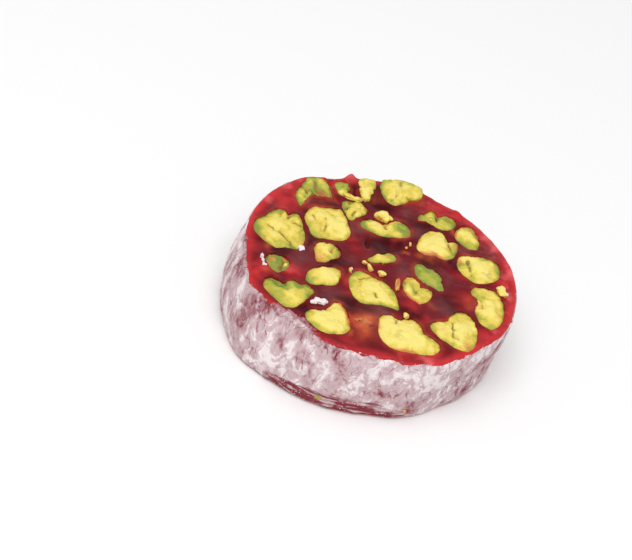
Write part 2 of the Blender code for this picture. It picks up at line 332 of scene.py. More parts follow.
class Finish:
    """A material under construction."""

    def __init__(self, name: str) -> None:
        """Start a material with one Principled BSDF.

        Args:
            name: Name of the material.
        """
        self.material = bpy.data.materials.new(name)
        self.material.use_nodes = True
        self.tree = self.material.node_tree
        self.shader = self.tree.nodes["Principled BSDF"]
        place = self.node("ShaderNodeTexCoord")
        self.place = Socket(self.tree, place.outputs["Object"])

    def node(self, kind: str, settings: dict | None = None, inputs: dict | None = None) -> bpy.types.Node:
        """Add any node.

        Args:
            kind: The node's type.
            settings: Its properties.
            inputs: Values or links, by the name or number of the socket.

        Returns:
            The new node.
        """
        made = self.tree.nodes.new(kind)
        for key, value in (settings or {}).items():
            setattr(made, key, value)
        for key, value in (inputs or {}).items():
            if isinstance(value, Socket):
                self.tree.links.new(value.output, made.inputs[key])
            elif isinstance(value, tuple) and len(value) == 3 and made.inputs[key].type == "RGBA":
                made.inputs[key].default_value = (*value, 1.0)
            else:
                made.inputs[key].default_value = value
        return made

    def noise(self, spacing_mm: float, seed: float, stretch: tuple = (1.0, 1.0, 1.0), detail: float = 3.0,
              distortion: float = 0.0) -> Socket:
        """Add a noise pattern.

        Args:
            spacing_mm: Distance between its patches.
            seed: Shift that makes patterns differ.
            stretch: How much longer the patches are along each axis.
            detail: Number of finer copies.
            distortion: How much the patches swirl.

        Returns:
            A share from 0 to 1.
        """
        scale = tuple(1.0 / (spacing_mm * MM * part) for part in stretch)
        mapping = self.node(
            "ShaderNodeMapping", {}, {"Vector": self.place, "Scale": scale, "Location": (seed, -seed, 0.5 * seed)}
        )
        moved = Socket(self.tree, mapping.outputs[0])
        values = {"Vector": moved, "Scale": 1.0, "Detail": detail, "Roughness": 0.55, "Distortion": distortion}
        return Socket(self.tree, self.node("ShaderNodeTexNoise", {}, values).outputs["Fac"])

    def steps(self, value: Socket, low: float, high: float) -> Socket:
        """Pass smoothly from 0 to 1.

        Args:
            value: The value that is read.
            low: Value at which the result is 0.
            high: Value at which it is 1.

        Returns:
            A share from 0 to 1.
        """
        settings = {"interpolation_type": "SMOOTHSTEP"}
        inputs = {"Value": value, "From Min": low, "From Max": high}
        return Socket(self.tree, self.node("ShaderNodeMapRange", settings, inputs).outputs["Result"])

    def shares(self, name: str) -> tuple[Socket, Socket, Socket]:
        """Read the three shares that a mesh carries.

        Args:
            name: Name of the colour attribute.

        Returns:
            The three shares.
        """
        attribute = self.node("ShaderNodeAttribute", {"attribute_name": name})
        colour = Socket(self.tree, attribute.outputs["Color"])
        split = self.node("ShaderNodeSeparateColor", {}, {"Color": colour})
        red, green, blue = (Socket(self.tree, output) for output in split.outputs)
        return red, green, blue

    def mix(self, share: Socket, low: "Socket | Colour", high: "Socket | Colour") -> Socket:
        """Mix two colours.

        Args:
            share: Share of the second colour.
            low: Colour at share 0.
            high: Colour at share 1.

        Returns:
            The mixed colour.
        """
        settings = {"data_type": "RGBA", "clamp_factor": True}
        made = self.node("ShaderNodeMix", settings, {0: share, 6: low, 7: high})
        return Socket(self.tree, made.outputs[2])

    def bump(self, height: Socket, depth_mm: float) -> Socket:
        """Turn a height, given as a share of a depth, into a normal."""
        inputs = {"Height": height, "Distance": depth_mm * MM, "Strength": 1.0}
        return Socket(self.tree, self.node("ShaderNodeBump", {}, inputs).outputs["Normal"])

    def dress(self, links: dict[str, Socket], values: dict[str, float]) -> Material:
        """Feed the shader.

        Args:
            links: What varies over the surface, by the shader's socket.
            values: What is the same all over, by the shader's socket.

        Returns:
            The finished material.
        """
        for name, socket in links.items():
            self.tree.links.new(socket.output, self.shader.inputs[name])
        for name, value in values.items():
            self.shader.inputs[name].default_value = value
        return self.material


@dataclass(frozen=True)
class JellyFinish:
    """Glossy red jelly, darker in patches and with painted shade, a painted glow of light where it is thin, milky
    starch with a painted sheen, and painted highlights.
    """

    # The darkest red serves for darker patches of jelly and for painted shade; the milky mauve is starch with a
    # painted sheen; the bright red is a painted glow of light through thin jelly, and the pink a painted
    # highlight.
    dark_and_shade: Colour = (0.054, 0.0018, 0.0040)
    body: Colour = (0.155, 0.0070, 0.0120)
    haze_and_sheen: Colour = (0.170, 0.054, 0.056)
    red: Colour = (0.600, 0.031, 0.035)
    bright: Colour = (0.690, 0.110, 0.115)
    ember: Colour = (0.640, 0.125, 0.045)
    dusted: Colour = (0.520, 0.340, 0.360)
    streak: Colour = (0.240, 0.035, 0.048)

    def build(self) -> Material:
        """Make the material, which reads the jelly's painted shares.

        Returns:
            The material.
        """
        finish = Finish("jelly")
        red, ember, dust = finish.shares("jelly_look")
        haze_and_sheen, dark_and_shade, painted_highlight = finish.shares("jelly_depth")
        broad = finish.noise(5.0, 3.0)
        cloudy = finish.noise(1.6, 8.0)
        streaky = finish.noise(1.0, 12.0, stretch=(2.4, 1.0, 1.0), distortion=0.7)
        fine = finish.noise(0.5, 5.0, detail=2.0)
        # Darker red in random patches, and painted shade where the shade share is high.
        colour = finish.mix(finish.steps(broad - dark_and_shade + (cloudy - 0.5) * 0.5, -0.05, 0.60), self.dark_and_shade, self.body)
        # Milky starch with a painted sheen over it.
        colour = finish.mix((haze_and_sheen * (0.10 + streaky * 1.7)).limited(), colour, self.haze_and_sheen)
        # Painted glow of light through thin jelly.
        colour = finish.mix((red * (0.65 + cloudy * 0.7)).limited(), colour, self.red)
        # Painted highlights, pinkish, mostly near the rim.
        colour = finish.mix(finish.steps(painted_highlight + (cloudy - 0.5) * 0.6 + (streaky - 0.5) * 0.3, 0.15, 0.85), colour,
                            self.bright)
        colour = finish.mix((ember * (0.5 + cloudy * 1.0)).limited(), colour, self.ember)
        powder = finish.steps(dust + (fine - 0.5) * 0.9 + (cloudy - 0.5) * 0.7, 0.35, 0.80)
        colour = finish.mix(powder, colour, finish.mix(fine, self.streak, self.dusted))
        roughness = 0.16 + cloudy * 0.12 + haze_and_sheen * 0.25 + powder * 0.5
        height = cloudy * 0.7 + fine * (0.12 + powder * 0.5)
        links = {
            "Base Color": colour,
            "Roughness": roughness.limited(),
            "Normal": finish.bump(height, 0.12),
            "Coat Weight": finish.steps(red - powder, 0.5, 1.0) * 0.20,
        }
        values = {
            "IOR": 1.42, "Specular IOR Level": 0.13, "Coat Roughness": 0.12, "Subsurface Weight": 0.08,
            "Subsurface Scale": 0.0012,
        }
        return finish.dress(links, values)


@dataclass(frozen=True)
class KernelFinish:
    """Cut pistachio kernel: pale yellow flesh, olive to green skin that also carries painted shade, creases and
    pits painted dark as painted shade, and a red film of jelly.
    """

    pale: Colour = (0.855, 0.715, 0.190)
    flesh: Colour = (0.765, 0.590, 0.088)
    olive: Colour = (0.430, 0.425, 0.054)
    green: Colour = (0.235, 0.300, 0.042)
    # Dark olive-brown for painted shade in the creases, cracks, valleys and pits.
    crease_shade: Colour = (0.150, 0.110, 0.014)
    film: Colour = (0.600, 0.160, 0.052)
    veil: Colour = (0.240, 0.012, 0.016)

    def build(self) -> Material:
        """Make the material, which reads the kernel's painted shares.

        Returns:
            The material.
        """
        finish = Finish("pistachio")
        green, crease_shade, film = finish.shares("kernel_look")
        blotch = finish.noise(2.0, 2.0)
        mottle = finish.noise(1.0, 13.0, distortion=0.5)
        grain = finish.noise(0.50, 6.0)
        speck = finish.noise(0.22, 9.0, detail=1.0)
        tone = green + (blotch - 0.5) * 0.40 + (mottle - 0.5) * 0.30 + (grain - 0.5) * 0.35
        colour = finish.mix(finish.steps(tone, 0.02, 0.40), self.pale, self.flesh)
        colour = finish.mix(finish.steps(tone, 0.28, 0.70), colour, self.olive)
        colour = finish.mix(finish.steps(tone, 0.66, 1.00), colour, self.green)
        # Painted shade in the creases, cracks, valleys and pits.
        dark = finish.steps(crease_shade + (grain - 0.5) * 0.40, 0.15, 1.00)
        colour = finish.mix(dark * 0.85, colour, self.crease_shade)
        wet = film + (blotch - 0.5) * 0.35 + (grain - 0.5) * 0.25
        colour = finish.mix(finish.steps(wet, 0.12, 0.60) * 0.92, colour, self.film)
        colour = finish.mix(finish.steps(wet, 0.62, 0.98), colour, self.veil)
        roughness = 0.52 - finish.steps(wet, 0.3, 0.8) * 0.30 + (grain - 0.5) * 0.25
        height = mottle * 0.6 + grain * 0.6 + speck * 0.3
        links = {
            "Base Color": colour,
            "Roughness": roughness.limited(),
            "Normal": finish.bump(height, 0.16),
        }
        values = {"IOR": 1.45, "Specular IOR Level": 0.35, "Subsurface Weight": 0.06, "Subsurface Scale": 0.0007}
        return finish.dress(links, values)


@dataclass(frozen=True)
class PowderFinish:
    """Icing sugar and starch: white where thick, mauve and red where the jelly shines through."""

    thick: Colour = (0.840, 0.745, 0.755)
    middle: Colour = (0.570, 0.420, 0.435)
    thin: Colour = (0.350, 0.160, 0.180)
    soaked: Colour = (0.230, 0.036, 0.048)
    stain: Colour = (0.310, 0.080, 0.098)

    def build(self) -> Material:
        """Make the material, which reads the powder's painted shares.

        Returns:
            The material.
        """
        finish = Finish("sugar_powder")
        cover, band, reddish = finish.shares("powder_look")
        broad = finish.noise(8.0, 2.0, detail=1.0, distortion=0.5)
        patch = finish.noise(3.0, 4.0, stretch=(1.0, 1.0, 1.5), detail=1.5, distortion=0.9)
        mottle = finish.noise(1.3, 7.0, stretch=(1.0, 1.0, 1.3), detail=2.5, distortion=0.5)
        grain = finish.noise(0.40, 1.0, detail=2.0)
        curl = finish.noise(2.2, 15.0, stretch=(1.0, 1.0, 1.7), detail=1.5, distortion=0.9)
        seam = finish.noise(0.9, 21.0, stretch=(4.0, 4.0, 0.7), detail=2.0)
        line = (1.0 - finish.steps(abs(curl - 0.5), 0.0, 0.070)) * finish.steps(mottle, 0.38, 0.62)
        tone = cover + (broad - 0.5) * 0.55 + (patch - 0.5) * 1.00 + (mottle - 0.5) * 0.80
        tone = tone + (grain - 0.5) * 0.30 - line * 0.38
        colour = finish.mix(finish.steps(tone, -0.12, 0.20), self.soaked, self.thin)
        colour = finish.mix(finish.steps(tone, 0.12, 0.46), colour, self.middle)
        colour = finish.mix(finish.steps(tone, 0.48, 0.80), colour, self.thick)
        stain = reddish + (curl - 0.5) * 0.9 + (mottle - 0.5) * 0.5 - (broad - 0.5) * 0.6
        stain = finish.steps(stain, 0.40, 0.88)
        colour = finish.mix(stain * 0.70, colour, self.stain)
        streaks = finish.mix(finish.steps(seam + (mottle - 0.5) * 0.3, 0.47, 0.66), self.soaked, self.middle)
        banded = finish.steps(band + (mottle - 0.5) * 0.6 + (seam - 0.5) * 0.5, 0.30, 0.62)
        colour = finish.mix(banded, colour, streaks)
        height = mottle * 0.35 + grain * 0.4 - line * 0.2
        links = {
            "Base Color": colour,
            "Roughness": (0.80 + patch * 0.2).limited(),
            "Normal": finish.bump(height, 0.12),
        }
        return finish.dress(links, {"IOR": 1.3, "Specular IOR Level": 0.3})


@dataclass(frozen=True)
class GrainFinish:
    """Grains of sugar, whiter than the crust they lie on."""

    light: Colour = (0.86, 0.79, 0.80)
    dull: Colour = (0.66, 0.54, 0.56)

    def build(self) -> Material:
        """Make the look of the grains.

        Returns:
            The material.
        """
        finish = Finish("sugar_grains")
        share = finish.noise(0.7, 5.0)
        links = {"Base Color": finish.mix(finish.steps(share, 0.3, 0.7), self.dull, self.light)}
        return finish.dress(links, {"Roughness": 0.55, "IOR": 1.45})


@dataclass(frozen=True)
class FloorFinish:
    """Plain pale floor."""

    colour: Colour = (0.88, 0.88, 0.88)

    def build(self) -> Material:
        """Make the look of the floor, with a very faint unevenness.

        Returns:
            The material.
        """
        finish = Finish("floor")
        cloud = finish.noise(90.0, 1.0, detail=1.0)
        lighter = tuple(min(1.0, part * 1.01) for part in self.colour)
        return finish.dress({"Base Color": finish.mix(cloud, self.colour, lighter)}, {"Roughness": 0.9})


@dataclass(frozen=True)
class KernelLook:
    """How one kernel looks in the upper cut, with places in millimetres and directions in degrees.

    Places are those at which the camera sees a point on the plane of the cut.
    tone passes from 0 for pale flesh to 1 for green skin. green_side and
    film_side are the directions in which more green skin or more jelly film
    shows, stripes is the direction of the fibres, creases are lines that are
    sunk and painted dark as painted shade, and pits are hollows with a reach
    and a depth, also painted dark as painted shade. A spot has a reach, a
    change of tone and a change of film. A veiled kernel lies level with the
    jelly running over it in places.
    """

    tone: float
    outline: Line = ()
    creases: tuple[Line, ...] = ()
    pits: tuple[tuple[float, float, float, float], ...] = ()
    green_side: float | None = None
    film_side: float | None = None
    film: float = 0.0
    stripes: float = 90.0
    veiled: bool = False
    spots: tuple[tuple[float, float, float, float, float], ...] = ()


# Spots beside the pits of kernels 1 and 20 add a darker olive tone as painted shade in those hollows.
LOOKS = {
    1: KernelLook(
        0.57,
        ((-11.9, 14.2), (-12.2, 15.6), (-13.0, 17.2), (-13.9, 18.9), (-15.0, 19.8), (-16.6, 19.2), (-17.9, 18.3),
         (-17.8, 16.8), (-18.2, 14.6), (-18.7, 12.3), (-18.4, 10.7), (-17.4, 9.0), (-16.7, 8.8), (-16.3, 11.0),
         (-15.8, 13.1), (-14.6, 13.5), (-13.2, 13.9)),
        (((-16.2, 17.6), (-15.2, 15.6)), ((-17.0, 14.4), (-16.7, 12.4))),
        ((-14.4, 15.2, 1.2, 0.5), (-15.9, 14.6, 0.7, 0.35)),
        green_side=-80.0, film=0.03, stripes=100.0,
        spots=((-14.2, 14.6, 1.3, 0.4, 0.1), (-17.9, 13.5, 1.0, -0.25, 0.0), (-15.6, 17.8, 1.2, 0.08, 0.0),
               (-15.8, 14.8, 0.8, 0.35, 0.0), (-17.4, 11.2, 1.0, -0.3, 0.03))),
    2: KernelLook(
        0.62,
        ((-9.6, 16.8), (-9.9, 18.2), (-9.8, 19.6), (-10.3, 20.3), (-11.4, 20.4), (-12.6, 19.4), (-12.4, 18.2),
         (-11.9, 17.0), (-11.2, 16.0), (-10.1, 15.7)),
        film=0.02, stripes=70.0,
        spots=((-11.0, 16.6, 0.8, -0.45, 0.12), (-10.4, 18.6, 0.8, 0.25, 0.1))),
    3: KernelLook(
        0.27,
        ((-5.3, 16.8), (-5.5, 18.5), (-5.3, 20.5), (-5.4, 22.5), (-5.9, 23.8), (-6.9, 23.6), (-8.4, 22.6),
         (-8.5, 21.4), (-7.9, 20.2), (-7.6, 18.4), (-7.1, 17.0), (-6.2, 16.1)),
        film_side=210.0, film=0.05),
    4: KernelLook(
        0.3,
        ((3.4, 22.5), (3.4, 24.5), (2.6, 26.0), (0.8, 27.0), (-0.8, 26.8), (-2.6, 25.6), (-4.2, 24.7),
         (-4.5, 23.0), (-4.3, 20.8), (-3.4, 19.2), (-2.2, 18.1), (-0.6, 17.9), (0.6, 18.9), (1.6, 20.6),
         (2.7, 21.3)),
        (((-1.5, 23.0), (-1.2, 21.2), (-1.7, 19.4)), ((-1.0, 26.0), (-0.8, 24.4))),
        green_side=185.0, stripes=86.0,
        spots=((-1.0, 19.5, 1.2, 0.22, 0.0),)),
    5: KernelLook(
        0.36,
        ((-5.1, 13.4), (-5.3, 14.9), (-6.8, 15.8), (-8.3, 15.8), (-9.8, 15.0), (-10.1, 13.6), (-9.7, 12.2),
         (-8.9, 10.8), (-8.0, 9.5), (-7.1, 9.5), (-6.6, 10.8), (-5.7, 11.8)),
        (((-8.6, 15.0), (-8.9, 12.6)), ((-7.2, 12.8), (-7.6, 11.4))),
        green_side=170.0, stripes=98.0,
        spots=((-6.3, 13.8, 1.1, -0.25, 0.0), (-7.8, 10.2, 1.0, -0.05, 0.22), (-8.8, 14.0, 1.0, 0.15, 0.0))),
    6: KernelLook(
        0.2,
        ((-14.1, 1.2), (-14.9, 3.2), (-15.5, 5.0), (-16.6, 6.8), (-17.5, 6.8), (-18.4, 5.6), (-19.4, 6.9),
         (-20.6, 6.5), (-21.4, 5.0), (-22.3, 3.2), (-23.3, 1.4), (-23.6, -0.6), (-23.0, -2.4), (-21.4, -3.6),
         (-19.8, -4.5), (-18.3, -5.0), (-16.7, -4.2), (-15.2, -3.9), (-13.7, -3.3), (-13.8, -1.2)),
        (((-21.5, 1.4), (-19.7, 0.2), (-18.6, 0.5), (-17.8, -0.5)), ((-17.8, -0.5), (-16.4, -1.5),
         (-15.1, -2.9)), ((-18.0, 5.6), (-18.3, 4.0)), ((-19.8, 5.6), (-19.6, 4.4)), ((-15.2, 3.4),
         (-16.8, 3.9))),
        ((-18.6, 0.6, 0.6, 0.4), (-16.6, -1.2, 0.5, 0.25), (-15.6, -2.2, 0.5, 0.25)),
        green_side=190.0, stripes=-30.0,
        spots=((-20.0, 5.6, 1.2, 0.22, 0.0), (-21.4, 1.4, 1.6, -0.16, 0.0), (-20.6, -1.8, 1.4, -0.1, 0.0),
               (-14.6, 3.0, 1.0, 0.15, 0.08))),
    7: KernelLook(
        -0.02,
        ((-6.5, 5.6), (-6.9, 7.2), (-7.7, 8.8), (-8.6, 10.6), (-9.8, 12.0), (-11.3, 11.5), (-13.0, 10.9),
         (-14.9, 10.3), (-15.5, 8.6), (-15.7, 6.8), (-15.1, 4.9), (-14.1, 3.4), (-13.3, 1.9), (-12.4, 1.3),
         (-11.0, 1.7), (-9.4, 2.1), (-7.8, 2.7), (-6.8, 4.0)),
        (((-11.9, 8.0), (-11.5, 6.6), (-11.4, 4.8)), ((-14.2, 7.9), (-13.6, 6.8)), ((-11.0, 9.9), (-10.4, 9.2))),
        ((-11.5, 4.6, 0.8, 0.3), (-11.5, 6.4, 0.6, 0.22), (-13.8, 8.9, 0.35, 0.25)),
        green_side=-110.0,
        spots=((-13.2, 4.6, 1.6, 0.1, 0.03), (-14.4, 7.4, 1.2, -0.14, 0.0), (-7.4, 5.4, 0.8, 0.12, 0.0))),
    8: KernelLook(
        0.28,
        ((-7.0, -1.6), (-7.2, 0.0), (-8.3, 1.2), (-9.7, 1.3), (-11.5, 0.6), (-12.0, -1.0), (-11.5, -3.4),
         (-10.7, -5.3), (-9.2, -5.0), (-8.2, -3.4)),
        (((-8.5, 0.6), (-8.8, -1.0)),),
        green_side=30.0, film_side=5.0, film=0.06),
    9: KernelLook(
        0.1,
        ((3.8, 10.4), (3.7, 11.8), (3.1, 13.2), (1.6, 14.1), (0.2, 14.0), (-0.8, 12.6), (-1.8, 11.9),
         (-3.2, 12.2), (-4.8, 11.8), (-5.9, 10.4), (-5.5, 8.8), (-4.4, 8.1), (-2.8, 7.8), (-1.2, 7.9),
         (0.8, 8.5), (2.6, 9.4)),
        (((-1.6, 12.0), (-1.0, 11.0)),),
        green_side=200.0, stripes=15.0,
        spots=((2.0, 12.3, 2.0, 0.85, 0.0), (-3.2, 10.0, 1.2, -0.22, 0.04))),
    10: KernelLook(
        0.44,
        ((11.1, 17.4), (11.1, 19.2), (10.3, 20.3), (9.0, 20.4), (8.0, 19.7), (7.4, 19.2), (6.9, 20.1),
         (5.9, 20.4), (5.2, 19.6), (4.7, 18.6), (3.9, 17.8), (3.7, 16.6), (4.2, 15.7), (5.6, 16.1), (7.2, 15.5),
         (8.6, 15.2), (9.8, 15.5), (10.7, 16.4)),
        (((7.3, 19.4), (7.4, 17.8)),),
        stripes=25.0,
        spots=((4.6, 16.4, 0.7, -0.2, 0.25), (5.8, 19.2, 0.7, -0.25, 0.03), (9.4, 19.0, 1.0, 0.15, 0.0))),
    11: KernelLook(
        0.19,
        ((16.4, 14.0), (15.9, 16.2), (15.0, 17.8), (14.0, 19.3), (12.6, 19.0), (11.7, 17.6), (11.0, 16.2),
         (11.2, 14.8), (12.4, 13.4), (13.6, 12.6), (14.8, 12.3), (16.0, 12.7)),
        green_side=70.0, film_side=190.0, film=0.02, stripes=115.0,
        spots=((11.8, 15.8, 0.8, -0.05, 0.22), (14.9, 13.6, 1.0, 0.18, 0.0))),
    12: KernelLook(
        -0.03,
        ((12.7, 11.2), (12.6, 12.7), (11.8, 13.5), (10.6, 13.0), (9.8, 14.2), (9.0, 14.9), (7.2, 14.6),
         (6.1, 13.4), (5.4, 11.6), (5.2, 9.6), (5.3, 7.6), (6.3, 6.7), (8.0, 6.4), (9.4, 6.8), (11.0, 6.9),
         (12.2, 8.2), (12.6, 9.8)),
        (((10.2, 13.4), (11.0, 11.6), (11.9, 10.2)),),
        green_side=5.0, film_side=-92.0,
        spots=((11.7, 12.2, 0.9, 0.1, 0.04), (8.2, 7.2, 1.3, 0.0, 0.3), (6.2, 6.9, 0.7, 0.0, 0.28))),
    13: KernelLook(
        0.08,
        ((21.4, 8.0), (21.0, 9.8), (20.4, 11.0), (19.2, 11.6), (18.0, 11.9), (16.9, 11.7), (15.9, 11.0),
         (15.0, 10.4), (14.0, 10.2), (13.1, 9.4), (13.0, 7.8), (13.2, 6.2), (14.0, 4.9), (15.2, 3.8),
         (16.8, 3.2), (18.6, 3.7), (20.1, 4.8), (21.1, 6.2)),
        (((15.2, 8.4), (15.7, 7.0), (16.4, 5.4)),),
        ((14.9, 9.0, 0.5, 0.8), (15.4, 8.6, 0.35, 0.4)),
        green_side=50.0, stripes=120.0,
        spots=((17.4, 11.0, 0.9, 0.25, 0.0), (14.5, 7.2, 1.1, 0.42, 0.03), (13.4, 8.4, 0.8, -0.1, 0.26),
               (20.6, 8.4, 0.8, 0.15, 0.0))),
    14: KernelLook(
        0.36,
        ((2.7, 3.0), (2.3, 3.8), (1.2, 4.4), (0.3, 3.5), (-0.4, 2.6), (-1.6, 1.9), (-2.6, 0.6), (-2.7, -0.4),
         (-1.4, -0.5), (0.2, 0.3), (1.8, 1.1), (2.6, 2.0)),
        film=0.1, stripes=38.0),
    15: KernelLook(
        0.84,
        ((12.4, -1.4), (11.6, 0.2), (11.0, 2.0), (9.8, 2.7), (8.2, 3.2), (7.2, 4.2), (6.2, 3.8), (5.8, 2.4),
         (6.2, 0.8), (6.9, -0.4), (8.4, -1.2), (9.6, -1.8), (11.4, -2.3)),
        stripes=-40.0),
    16: KernelLook(
        0.04,
        ((10.6, -4.0), (10.4, -2.6), (9.2, -2.2), (8.1, -2.3), (7.3, -1.0), (6.2, -0.1), (5.2, -0.7),
         (4.8, -2.4), (5.0, -4.2), (5.7, -5.8), (6.6, -6.9), (7.8, -7.3), (8.8, -7.6), (9.6, -6.8),
         (10.3, -5.4)),
        (((8.0, -2.6), (7.7, -4.2), (7.3, -5.2)),),
        ((7.4, -4.0, 0.7, 0.3),),
        film_side=250.0, film=0.03, stripes=105.0,
        spots=((6.2, -2.6, 1.4, 0.16, 0.14), (9.4, -4.0, 1.1, -0.1, 0.0), (8.8, -6.8, 0.9, -0.1, 0.24),
               (5.2, -4.6, 0.7, 0.0, 0.32), (5.2, -1.4, 0.6, 0.0, 0.25), (7.5, -4.2, 0.7, 0.35, 0.1))),
    17: KernelLook(
        0.08,
        ((16.6, 1.2), (16.9, -0.4), (18.0, -1.2), (18.5, -2.2), (18.3, -3.6), (18.5, -5.2), (19.2, -6.6),
         (20.4, -7.8), (22.0, -8.3), (23.1, -7.0), (23.7, -5.0), (23.7, -2.6), (23.4, -0.8), (22.6, 1.2),
         (21.6, 2.8), (20.4, 3.3), (18.8, 3.2), (17.3, 2.5)),
        (((19.0, -0.6), (19.5, -2.4)),),
        green_side=185.0, stripes=100.0,
        spots=((18.4, 0.8, 1.7, 0.3, 0.04), (23.2, -3.6, 0.8, -0.15, 0.16), (18.8, -5.2, 0.9, 0.25, 0.0))),
    18: KernelLook(
        0.12,
        ((5.8, -10.4), (5.2, -8.6), (4.4, -6.8), (3.6, -5.4), (2.2, -4.4), (0.4, -4.0), (-1.2, -3.4),
         (-3.2, -3.5), (-4.2, -4.6), (-4.5, -6.4), (-4.1, -8.4), (-3.2, -10.2), (-2.2, -11.8), (-0.8, -12.5),
         (1.0, -11.7), (2.6, -11.0), (4.2, -10.9), (5.5, -11.3)),
        (((0.8, -7.9), (1.1, -8.6)), ((-1.0, -4.2), (-2.6, -5.2))),
        green_side=-75.0, stripes=-50.0,
        spots=((-3.8, -4.8, 0.9, 0.2, 0.0), (4.6, -10.2, 1.0, 0.15, 0.0))),
    19: KernelLook(
        0.14,
        ((-5.7, -6.2), (-6.2, -5.0), (-7.4, -4.6), (-8.8, -5.3), (-10.0, -6.3), (-11.3, -7.4), (-11.6, -9.2),
         (-11.4, -11.0), (-10.4, -12.0), (-9.2, -11.6), (-8.2, -10.9), (-7.0, -10.5), (-6.0, -9.6),
         (-5.7, -7.8)),
        green_side=225.0, stripes=60.0,
        spots=((-7.6, -7.2, 1.6, -0.2, 0.0), (-10.4, -9.8, 1.3, 0.16, 0.0))),
    20: KernelLook(
        0.37,
        ((-9.0, -12.9), (-9.3, -14.5), (-9.9, -16.0), (-10.7, -17.8), (-11.6, -19.2), (-13.0, -19.8),
         (-14.3, -19.2), (-15.5, -18.3), (-16.6, -17.5), (-17.6, -16.6), (-18.1, -15.2), (-18.0, -13.8),
         (-17.0, -12.5), (-15.8, -12.9), (-14.7, -13.3), (-13.9, -12.4), (-13.2, -11.7), (-12.4, -11.8),
         (-11.6, -12.0), (-10.8, -11.6), (-9.8, -11.9)),
        (((-16.8, -12.9), (-15.9, -13.8), (-15.0, -14.2), (-13.9, -14.6)),),
        ((-16.0, -13.2, 0.5, 0.26), (-15.0, -13.7, 0.6, 0.28), (-14.1, -13.8, 0.5, 0.22),
         (-11.8, -12.7, 0.6, 0.28)),
        green_side=80.0, stripes=-20.0,
        spots=((-15.4, -13.6, 1.2, 0.45, 0.05), (-14.0, -14.0, 0.9, 0.4, 0.0), (-11.9, -13.0, 0.9, 0.45, 0.0))),
    21: KernelLook(
        0.86,
        ((-14.7, -8.2), (-15.2, -6.9), (-16.4, -6.2), (-18.0, -6.4), (-19.2, -7.4), (-19.3, -8.8),
         (-18.5, -10.2), (-17.5, -11.4), (-16.3, -11.7), (-15.5, -10.8), (-14.9, -9.6)),
        (((-15.9, -7.2), (-16.1, -9.8)),),
        ((-16.7, -7.8, 0.7, 0.3), (-15.6, -10.0, 0.6, 0.25)),
        stripes=95.0,
        spots=((-18.1, -8.5, 0.75, -0.3, 0.48), (-15.2, -8.4, 0.75, -0.85, 0.22), (-18.8, -7.2, 0.6, -0.35, 0.1),
               (-15.8, -6.7, 0.7, -0.4, 0.36), (-15.5, -10.6, 0.6, -0.2, 0.5), (-16.9, -8.2, 0.7, 0.25, -0.1),
               (-18.8, -9.8, 0.6, -0.6, 0.34))),
    22: KernelLook(
        -0.02,
        ((-1.2, -19.8), (-1.5, -18.1), (-2.1, -16.4), (-3.0, -14.7), (-4.2, -13.7), (-5.2, -13.8), (-5.9, -15.2),
         (-6.5, -16.8), (-7.7, -17.2), (-9.0, -17.9), (-9.6, -19.2), (-9.1, -20.6), (-7.8, -21.8), (-6.4, -22.8),
         (-5.0, -23.0), (-3.4, -22.4), (-2.0, -21.6)),
        green_side=195.0, film_side=20.0, stripes=70.0,
        spots=((-4.0, -14.6, 0.8, 0.0, 0.2), (-8.6, -19.6, 1.1, 0.22, 0.0))),
    23: KernelLook(
        0.15,
        ((2.9, -16.2), (2.8, -18.0), (2.2, -19.6), (0.8, -20.2), (-0.6, -19.6), (-1.3, -18.0), (-1.2, -16.0),
         (-0.4, -14.6), (1.0, -14.4), (2.2, -15.0)),
        film=0.62, stripes=70.0, veiled=True),
    24: KernelLook(
        -0.08,
        ((14.4, -16.8), (14.3, -18.2), (13.7, -19.6), (12.2, -20.2), (10.6, -20.5), (9.0, -21.0), (7.4, -21.5),
         (6.0, -21.2), (4.8, -20.4), (3.7, -19.2), (3.1, -17.4), (2.9, -15.6), (2.5, -14.2), (3.3, -13.0),
         (4.6, -12.4), (6.4, -12.8), (7.4, -12.0), (8.6, -11.6), (9.7, -12.2), (10.5, -13.4), (11.2, -14.6),
         (12.4, -14.9), (13.6, -15.4)),
        (((5.6, -13.2), (5.9, -14.0)),),
        green_side=42.0, film_side=-80.0,
        spots=((3.2, -14.0, 1.0, 0.0, 0.22), (12.2, -16.0, 1.1, 0.28, 0.0), (13.8, -18.6, 0.8, 0.0, 0.2))),
    25: KernelLook(
        0.08,
        ((20.0, -10.4), (20.1, -12.6), (20.0, -14.6), (19.3, -15.9), (17.8, -16.2), (16.2, -15.9), (14.8, -15.2),
         (13.2, -14.4), (11.9, -13.2), (11.4, -11.8), (12.0, -10.6), (13.2, -9.7), (14.2, -8.9), (14.4, -7.6),
         (14.9, -6.4), (16.2, -5.4), (17.2, -5.3), (18.5, -6.6), (19.3, -8.0), (19.8, -9.2)),
        (((15.1, -9.0), (15.6, -10.8), (15.9, -12.2)), ((15.9, -12.4), (16.8, -12.8))),
        ((16.2, -12.2, 0.5, 0.35),),
        green_side=130.0, stripes=75.0,
        spots=((17.8, -14.4, 1.6, 0.02, 0.08), (12.8, -12.0, 1.2, 0.08, 0.04))),
}

# Tones of the kernels that show at the lower cut only, taken in turn.
LOWER_TONES = (0.12, 0.40, 0.08, 0.62, 0.22)
CAMERA_ELEVATION = 38.57
PARALLAX = 1.0 / math.tan(math.radians(CAMERA_ELEVATION))


